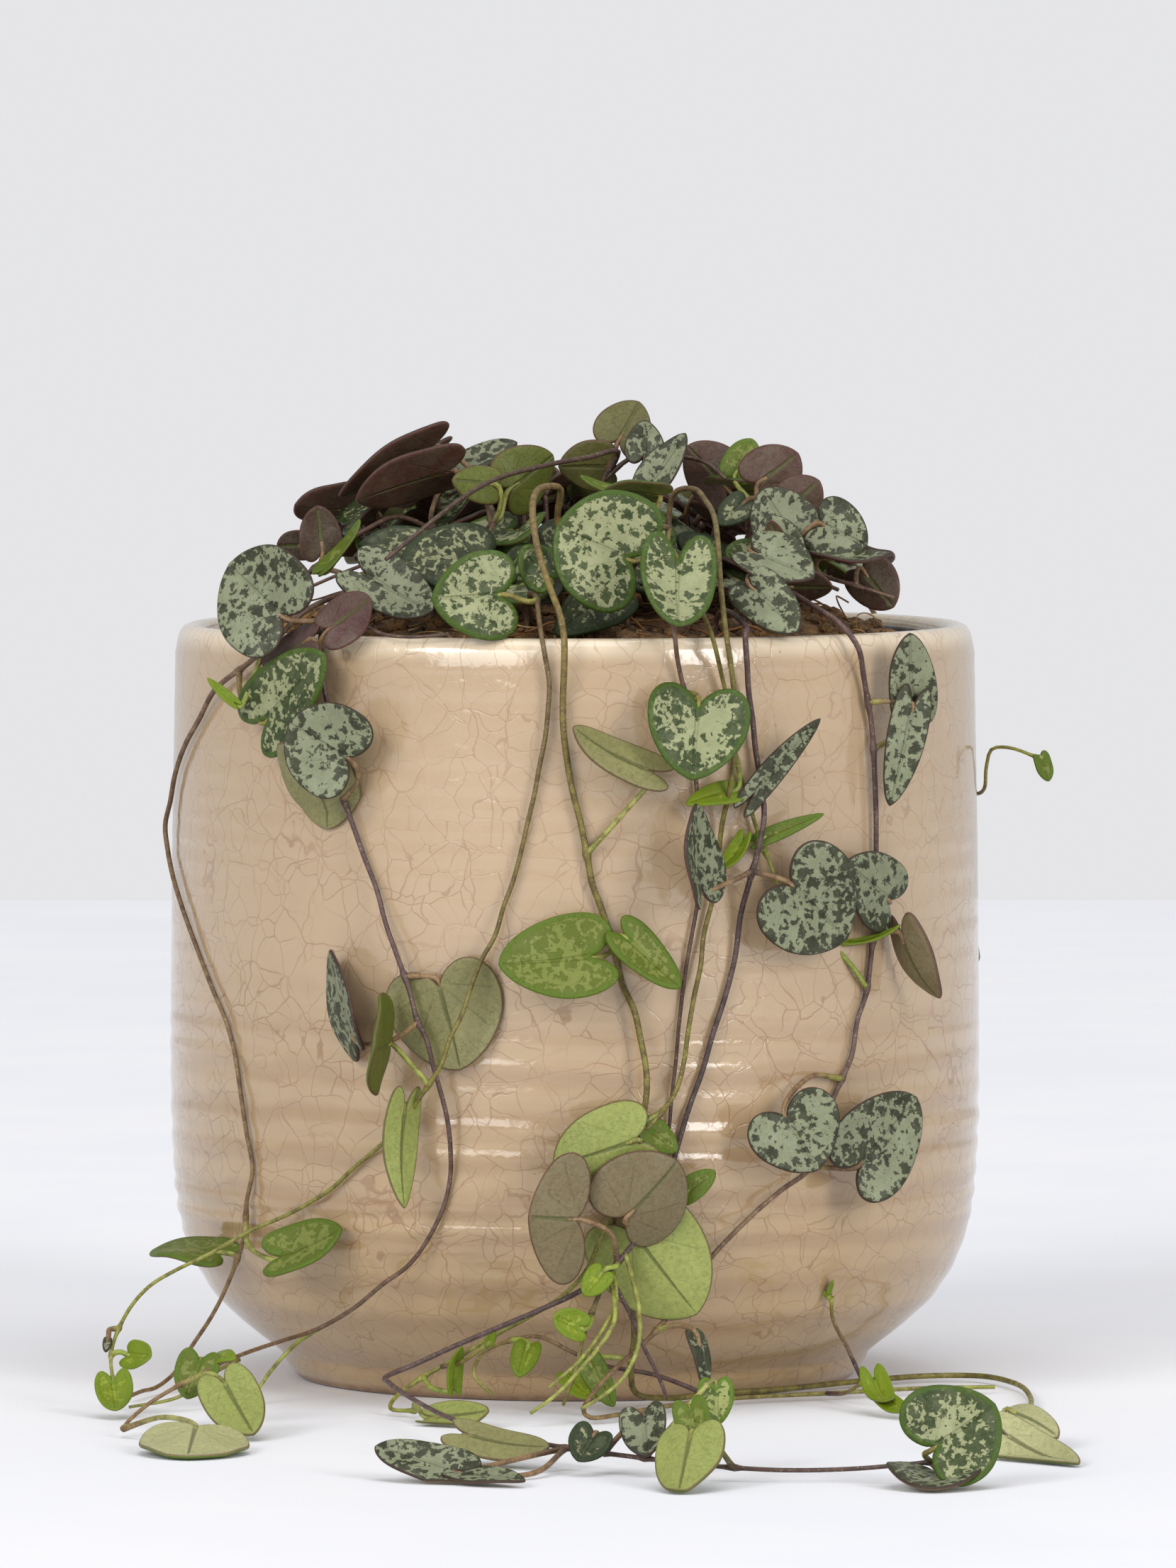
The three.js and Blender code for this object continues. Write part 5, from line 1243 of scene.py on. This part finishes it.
def lumpy(x, y):
    """Height of the soil's lumps at a place on it."""
    place = Vector((x, y, 3.0))
    broad, middling, fine = (noise.noise(place * scale) for scale in (0.09, 0.28, 0.8))
    return 1.5 * broad + 1.0 * middling + 0.5 * fine


def scattered(count, share, random):
    """Random places on the soil, out to a share of its area."""
    for _ in range(count):
        angle = random(0, 2 * math.pi)
        yield angle, SOIL_REACH * math.sqrt(random(0, share))


def make_soil(settings):
    """The lumpy bed of soil, and the crumbs and the strands of coir that lie on it."""
    bed = Shape()
    base = GROW_POT_BASE - GROW_POT_WALL - GAP
    floor = POT_FLOOR + GROW_POT_WALL + 2 * GAP
    rings = [SOIL_REACH * (1 - i / SOIL_RINGS) for i in range(SOIL_RINGS)]
    profile = [(0, floor), (base, floor), (SOIL_REACH, GROW_POT_TOP - 7)]
    profile += [(radius, soil_top(radius) - SOIL_DROP) for radius in rings]
    profile.append((0, SOIL_MIDDLE - SOIL_DROP))
    turned(bed, profile, SOIL_SEGMENTS)
    for point in bed.points[0]:
        if point[2] > GROW_POT_TOP - 6:
            point[2] += lumpy(point[0], point[1])
    bed.piece("soil_bed", "damp_soil", "soil", "soil")
    random = draw(71)
    crumbs = Shape()
    for angle, radius in scattered(settings.crumbs, 0.96, random):
        size = random(0.5, 1.0) ** 2 * 2.3
        x, y = radius * math.cos(angle), radius * math.sin(angle)
        height = soil_top(radius) - SOIL_DROP + lumpy(x, y) + size * 0.2
        crumb(crumbs, (x, y, height), size, random)
    crumbs.piece("soil_crumbs", "damp_soil", "soil", "soil")
    fibres = Shape()
    for angle, radius in scattered(settings.fibres, 0.93, random):
        fibre(fibres, angle, radius, random)
    fibres.piece("soil_fibres", "coir_strands", "soil", "soil")


def crumb(shape, centre, size, random):
    """A rough lump: three uneven rings between a bottom and a top point."""
    squash = random(0.5, 0.9)
    points = [(0, 0, -squash)]
    for height, radius in ((-0.55, 0.75), (0.05, 1.0), (0.6, 0.7)):
        for j in range(CRUMB_SIDES):
            angle = 2 * math.pi * j / CRUMB_SIDES + height
            wide = radius * random(0.72, 1.2)
            level = height * squash * random(0.8, 1.2)
            points.append((wide * math.cos(angle), wide * math.sin(angle), level))
    points.append((0, 0, squash * random(0.8, 1.1)))
    first, second, third = (1 + CRUMB_SIDES * ring for ring in range(3))
    top = len(points) - 1
    faces = []
    for j in range(CRUMB_SIDES):
        k = (j + 1) % CRUMB_SIDES
        faces.append((0, first + k, first + j))
        faces.append((top, third + j, third + k))
        for low, high in ((first, second), (second, third)):
            faces.append((low + j, low + k, high + k, high + j))
    tone = random(0, 1)
    shape.add(np.array(points) * size + np.array(centre), faces, tone=tone)


def fibre(shape, angle, radius, random):
    """A thin strand of coir that lies on the soil or stands a little out of it."""
    x, y = radius * math.cos(angle), radius * math.sin(angle)
    heading = random(0, 2 * math.pi)
    length = random(3, 13)
    lift = random(-0.1, 0.75) ** 3 * length
    curl = random(-1.4, 1.4)
    route = []
    for i in range(5):
        share = i / 4
        turn = heading + curl * share
        px, py = x + length * share * math.cos(turn), y + length * share * math.sin(turn)
        far = math.hypot(px, py)
        limit = SOIL_RADIUS - 1.5
        if far > limit:
            px, py = px * limit / far, py * limit / far
        ground = soil_top(math.hypot(px, py)) - SOIL_DROP + lumpy(px, py)
        route.append((px, py, ground + random(-0.2, 0.7) + lift * math.sin(share * 2.2)))
    line = smooth_line(route, 1.2)
    radii = np.full(len(line), random(0.09, 0.24))
    tints = [blend_colours(COIR_COLOURS, random(0, 1))] * len(line)
    tube(shape, line, radii, 4, tints)


# ------------------------------------------------------------------ the filling of the crown
GOLDEN_TURN = 2.39996             # between one shoot and the next, to spread them evenly


def crown_fill(settings):
    """Short shoots all over the soil, each with a stalk and a pair of leaves, thickest behind."""
    stalks, leaves = Shape(), {True: Shape(), False: Shape()}
    random = draw(19)
    finish = draw(47)
    for k in range(settings.filling_shoots):
        angle = (k * GOLDEN_TURN) % (2 * math.pi)
        front = math.sin(angle) < -0.3
        thinned = (front and math.cos(angle) > 0.3) or math.cos(angle) < -0.8
        narrow = 0.82 if thinned else 1.0
        radius = (6 + 46 * math.sqrt((k + 0.5) / settings.filling_shoots)) * narrow
        size = random(9, 13) if front else random(11, 16)
        height = mound(radius) + (random(-8, -2) if front else random(-3, 6))
        height = max(height, soil_top(radius) + 3)
        root = around(angle + random(-0.2, 0.2), radius * 0.8, soil_top(radius * 0.8) - 1.5)
        bend = around(angle, radius * 0.84, (root[2] + height) / 2 + 1)
        neck = around(angle, radius * 0.92, height - 1.5)
        colour = (UMBER, BROWN, TAN)[int(finish(0, 3))]
        line = smooth_line([root, bend, neck], 1.2)
        tube(stalks, line, np.full(len(line), REAR_RADIUS), PETIOLE_SIDES, [colour] * len(line))
        for side in (-1, 1):
            turn = angle + side * random(0.5, 1.2)
            reach = random(1.5, 3.0)
            base = np.array(neck) + (reach * math.cos(turn), reach * math.sin(turn), 1.4)
            run = size * random(0.55, 0.75)
            tip = base + (run * math.cos(turn), run * math.sin(turn), random(-4, 2))
            across = math.hypot(tip[0], tip[1])
            limit = 63 if math.sin(angle) > 0.35 else 57
            if across > limit:
                tip[:2] *= limit / across
            lean = random(2, 11)
            face = (math.cos(angle) * lean, math.sin(angle) * lean, 6)
            width = size * (1.0 if side > 0 else 0.85)
            leaf = (base, tip, width, face, crown_look(finish))
            stalked_leaf(stalks, leaves[front], np.array(neck), leaf, colour, 0.1, 900 + 2 * k + side)
    stalks.piece("crown_fill_stalks", "trailing_stem", "leaf")
    leaves[True].piece("crown_fill_blades_front", "heart_leaf", "leaf")
    leaves[False].piece("crown_fill_blades_behind", "heart_leaf", "leaf")


# ------------------------------------------------------------------ floor, light and camera
FLOOR_HALF = 4                    # half the floor's width, in metres
LIGHTS_AIM = Vector((0, 0, 0.09))
CAMERA_DIP = 3.02                 # degrees
CAMERA_TURN = 0.0593
MIRRORED_ROOM = 0.25              # how much brighter the room is where the glaze mirrors it


def window(name, bearing, elevation, distance, width, height, power):
    """A square light that faces the pot, at a bearing right of the camera's side."""
    data = bpy.data.lights.new(name, "AREA")
    data.shape = "RECTANGLE"
    data.size = width
    data.size_y = height
    data.energy = power
    made = linked(name, data)
    turn, rise = math.radians(bearing), math.radians(elevation)
    way = Vector((math.sin(turn) * math.cos(rise), -math.cos(turn) * math.cos(rise), math.sin(rise)))
    made.location = LIGHTS_AIM + distance * way
    made.rotation_euler = (LIGHTS_AIM - made.location).to_track_quat("-Z", "Y").to_euler()


def far_light(name, energy, spread, tilt, turn):
    """A sun of a certain spread, tilted from overhead and turned about the vertical, in degrees."""
    data = bpy.data.lights.new(name, "SUN")
    data.energy = energy
    data.angle = math.radians(spread)
    linked(name, data).rotation_euler = (math.radians(tilt), 0, math.radians(turn))


def make_world(settings):
    """A plain bright room, in the wall's own colour where the camera sees it."""
    world = bpy.data.worlds.new("studio")
    world.use_nodes = True
    bpy.context.scene.world = world
    wiring = Wiring(world.node_tree)
    path = wiring.node("LightPath").outputs
    seen = path["Is Camera Ray"]
    backdrop = world.node_tree.nodes["Background"].inputs
    wiring.feed(backdrop["Color"], wiring.blend(seen, ROOM_COLOUR, settings.wall_colour))
    strength = wiring.plus(settings.room_light, wiring.times(seen, 1 - settings.room_light))
    mirrored = wiring.times(path["Is Glossy Ray"], MIRRORED_ROOM)
    wiring.feed(backdrop["Strength"], wiring.plus(strength, mirrored))


def make_stage(settings):
    """The floor, the two windows, the two suns, the room and the camera."""
    mesh = bpy.data.meshes.new("studio_floor")
    side, far = FLOOR_HALF, settings.floor_end
    corners = [(-side, -side, 0), (side, -side, 0), (side, far, 0), (-side, far, 0)]
    mesh.from_pydata(corners, [], [(0, 1, 2, 3)])
    mesh.materials.append(finish_named("studio_floor"))
    floor = linked("studio_floor", mesh)
    power = settings.light_power
    window("light_window_left", -27, 20, 4.0, 1.75, 2.0, 50 * power)
    window("light_window_right", 39, 20, 4.0, 1.2, 2.0, 76 * power)
    far_light("light_key", 0.84 * power, 19, 60, -42)
    far_light("light_overhead", 0.95 * power, 45, 12, 20)
    make_world(settings)
    scene = bpy.context.scene
    scene.view_settings.view_transform = "Standard"
    data = bpy.data.cameras.new("camera")
    data.lens = settings.lens
    data.sensor_width = 36
    data.clip_end = 20
    camera = linked("camera", data)
    camera.location = (0, -settings.camera_distance, settings.camera_height)
    camera.rotation_euler = (math.radians(90 - CAMERA_DIP), 0, -math.radians(CAMERA_TURN))
    scene.camera = camera


# ------------------------------------------------------------------ settings
# Lengths are in metres here, because the panel shows them in the scene's own unit.
def colour_setting(name, description, default):
    return FloatVectorProperty(name=name, description=description, default=default, size=4, min=0,
                               max=1, subtype="COLOR")


def length_setting(name, description, default):
    return FloatProperty(name=name, description=description, default=default, unit="LENGTH")


def amount_setting(name, description, default):
    kind = IntProperty if isinstance(default, int) else FloatProperty
    return kind(name=name, description=description, default=default, min=0)


class PotSettings(bpy.types.PropertyGroup):
    """Sizes and colours of the glaze"""
    ring_pitch: length_setting("Ring Pitch", "Distance between the throwing rings", 4.6 * MM)
    ring_depth: length_setting("Ring Depth", "How far the throwing rings stand out", 0.21 * MM)
    crackle_size: length_setting("Crackle Size", "Width of the small cells of the crazing", 5.2 * MM)
    glaze_colour: colour_setting("Glaze", "Glaze near the rim", rgb(172, 148, 118))
    pale_colour: colour_setting("Pale Patches", "Lighter patches in the glaze", rgb(181, 158, 129))
    low_colour: colour_setting("Low Glaze", "Glaze near the foot", rgb(166, 139, 100))
    crackle_colour: colour_setting("Crackle", "Lines of the crazing", rgb(128, 94, 64))


class SoilSettings(bpy.types.PropertyGroup):
    """Amounts and colours of the compost and the coir"""
    crumbs: amount_setting("Crumbs", "Number of loose crumbs on the soil", 700)
    fibres: amount_setting("Fibres", "Number of coir strands", 380)
    dark_colour: colour_setting("Dark", "Damp compost", rgb(60, 44, 26))
    light_colour: colour_setting("Light", "Dry compost", rgb(112, 82, 48))
    coir_colour: colour_setting("Coir", "Orange bits in the compost", rgb(150, 110, 60))


class LeafSettings(bpy.types.PropertyGroup):
    """How full the crown is, and how coarse the leaves are marbled"""
    filling_shoots: amount_setting("Filling Shoots", "Number of short shoots in the crown", 54)
    blotch_size: length_setting("Blotch Size", "Distance between the green blotches", 2.5 * MM)


class StageSettings(bpy.types.PropertyGroup):
    """Light, floor, wall and camera"""
    light_power: amount_setting("Light Power", "Strength of the windows and the suns", 1.0)
    room_light: amount_setting("Room Light", "Strength of the light from all round", 0.52)
    floor_end: length_setting("Floor End", "Where the floor meets the wall behind", 1.334)
    floor_colour: colour_setting("Floor", "Table top", rgb(239, 238, 240))
    wall_colour: colour_setting("Wall", "Backdrop", rgb(229, 229, 231))
    lens: amount_setting("Lens", "Focal length of the camera, in millimetres", 290.9)
    camera_distance: length_setting("Camera Distance", "From the camera to the pot's axis", 2.2)
    camera_height: length_setting("Camera Height", "Height of the camera", 0.219)


# ------------------------------------------------------------------ operators
class HEARTS_OT_pot(bpy.types.Operator):
    """Turns the crackle-glazed pot"""
    bl_idname = "hearts.pot"
    bl_label = "Glazed Pot"

    def execute(self, context):
        make_pot(context.scene.heart_pot)
        return {"FINISHED"}


class HEARTS_OT_grow_pot(bpy.types.Operator):
    """Makes the plastic pot that holds the soil"""
    bl_idname = "hearts.grow_pot"
    bl_label = "Grow Pot"

    def execute(self, context):
        make_grow_pot()
        return {"FINISHED"}


class HEARTS_OT_soil(bpy.types.Operator):
    """Fills the grow pot with soil, crumbs and coir"""
    bl_idname = "hearts.soil"
    bl_label = "Soil"

    def execute(self, context):
        make_soil(context.scene.heart_soil)
        return {"FINISHED"}


class HEARTS_OT_stems(bpy.types.Operator):
    """Grows every trailing and crown stem with its leaves"""
    bl_idname = "hearts.stems"
    bl_label = "Leafy Stems"

    def execute(self, context):
        plants = dict(PLANT)
        for name, facts in HANGING.items():
            plants[name] = hanging_stem(**facts)
        plants["crown_back"] = crown_behind(**CROWN_BEHIND)
        plants["stem_side_right"]["stems"].append(STRAY_SHOOT)
        plants["stem_side_right"]["leaves"].append(STRAY_LEAF)
        for number, (name, entry) in enumerate(plants.items()):
            leafy_stem(name, entry, number)
        return {"FINISHED"}


class HEARTS_OT_crown_fill(bpy.types.Operator):
    """Fills the crown with short shoots"""
    bl_idname = "hearts.crown_fill"
    bl_label = "Crown Fill"

    def execute(self, context):
        crown_fill(context.scene.heart_leaves)
        return {"FINISHED"}


class HEARTS_OT_stage(bpy.types.Operator):
    """Sets the floor, the lights and the camera"""
    bl_idname = "hearts.stage"
    bl_label = "Stage"

    def execute(self, context):
        make_stage(context.scene.heart_stage)
        return {"FINISHED"}


class HEARTS_PT_plant(bpy.types.Panel):
    """Lists the steps that dress the plant, with their settings"""
    bl_idname = "HEARTS_PT_plant"
    bl_label = "String of Hearts"
    bl_space_type = "VIEW_3D"
    bl_region_type = "UI"
    bl_category = "Plant"

    def draw(self, context):
        for operator in OPERATORS:
            self.layout.operator(operator.bl_idname)
        for key in SETTINGS:
            box = self.layout.box()
            group = getattr(context.scene, key)
            for name in group.__annotations__:
                box.prop(group, name)


OPERATORS = (HEARTS_OT_pot, HEARTS_OT_grow_pot, HEARTS_OT_soil, HEARTS_OT_stems, HEARTS_OT_crown_fill,
             HEARTS_OT_stage)
SETTINGS = {"heart_pot": PotSettings, "heart_soil": SoilSettings, "heart_leaves": LeafSettings,
            "heart_stage": StageSettings}


def register():
    for item in (*SETTINGS.values(), *OPERATORS, HEARTS_PT_plant):
        bpy.utils.register_class(item)
    for key, group in SETTINGS.items():
        setattr(bpy.types.Scene, key, PointerProperty(type=group))


def unregister():
    for key in SETTINGS:
        delattr(bpy.types.Scene, key)
    for item in reversed((*SETTINGS.values(), *OPERATORS, HEARTS_PT_plant)):
        bpy.utils.unregister_class(item)


def main():
    register()
    bpy.ops.hearts.stage()
    bpy.ops.hearts.pot()
    bpy.ops.hearts.grow_pot()
    bpy.ops.hearts.soil()
    bpy.ops.hearts.stems()
    bpy.ops.hearts.crown_fill()


if __name__ == "__main__":
    main()
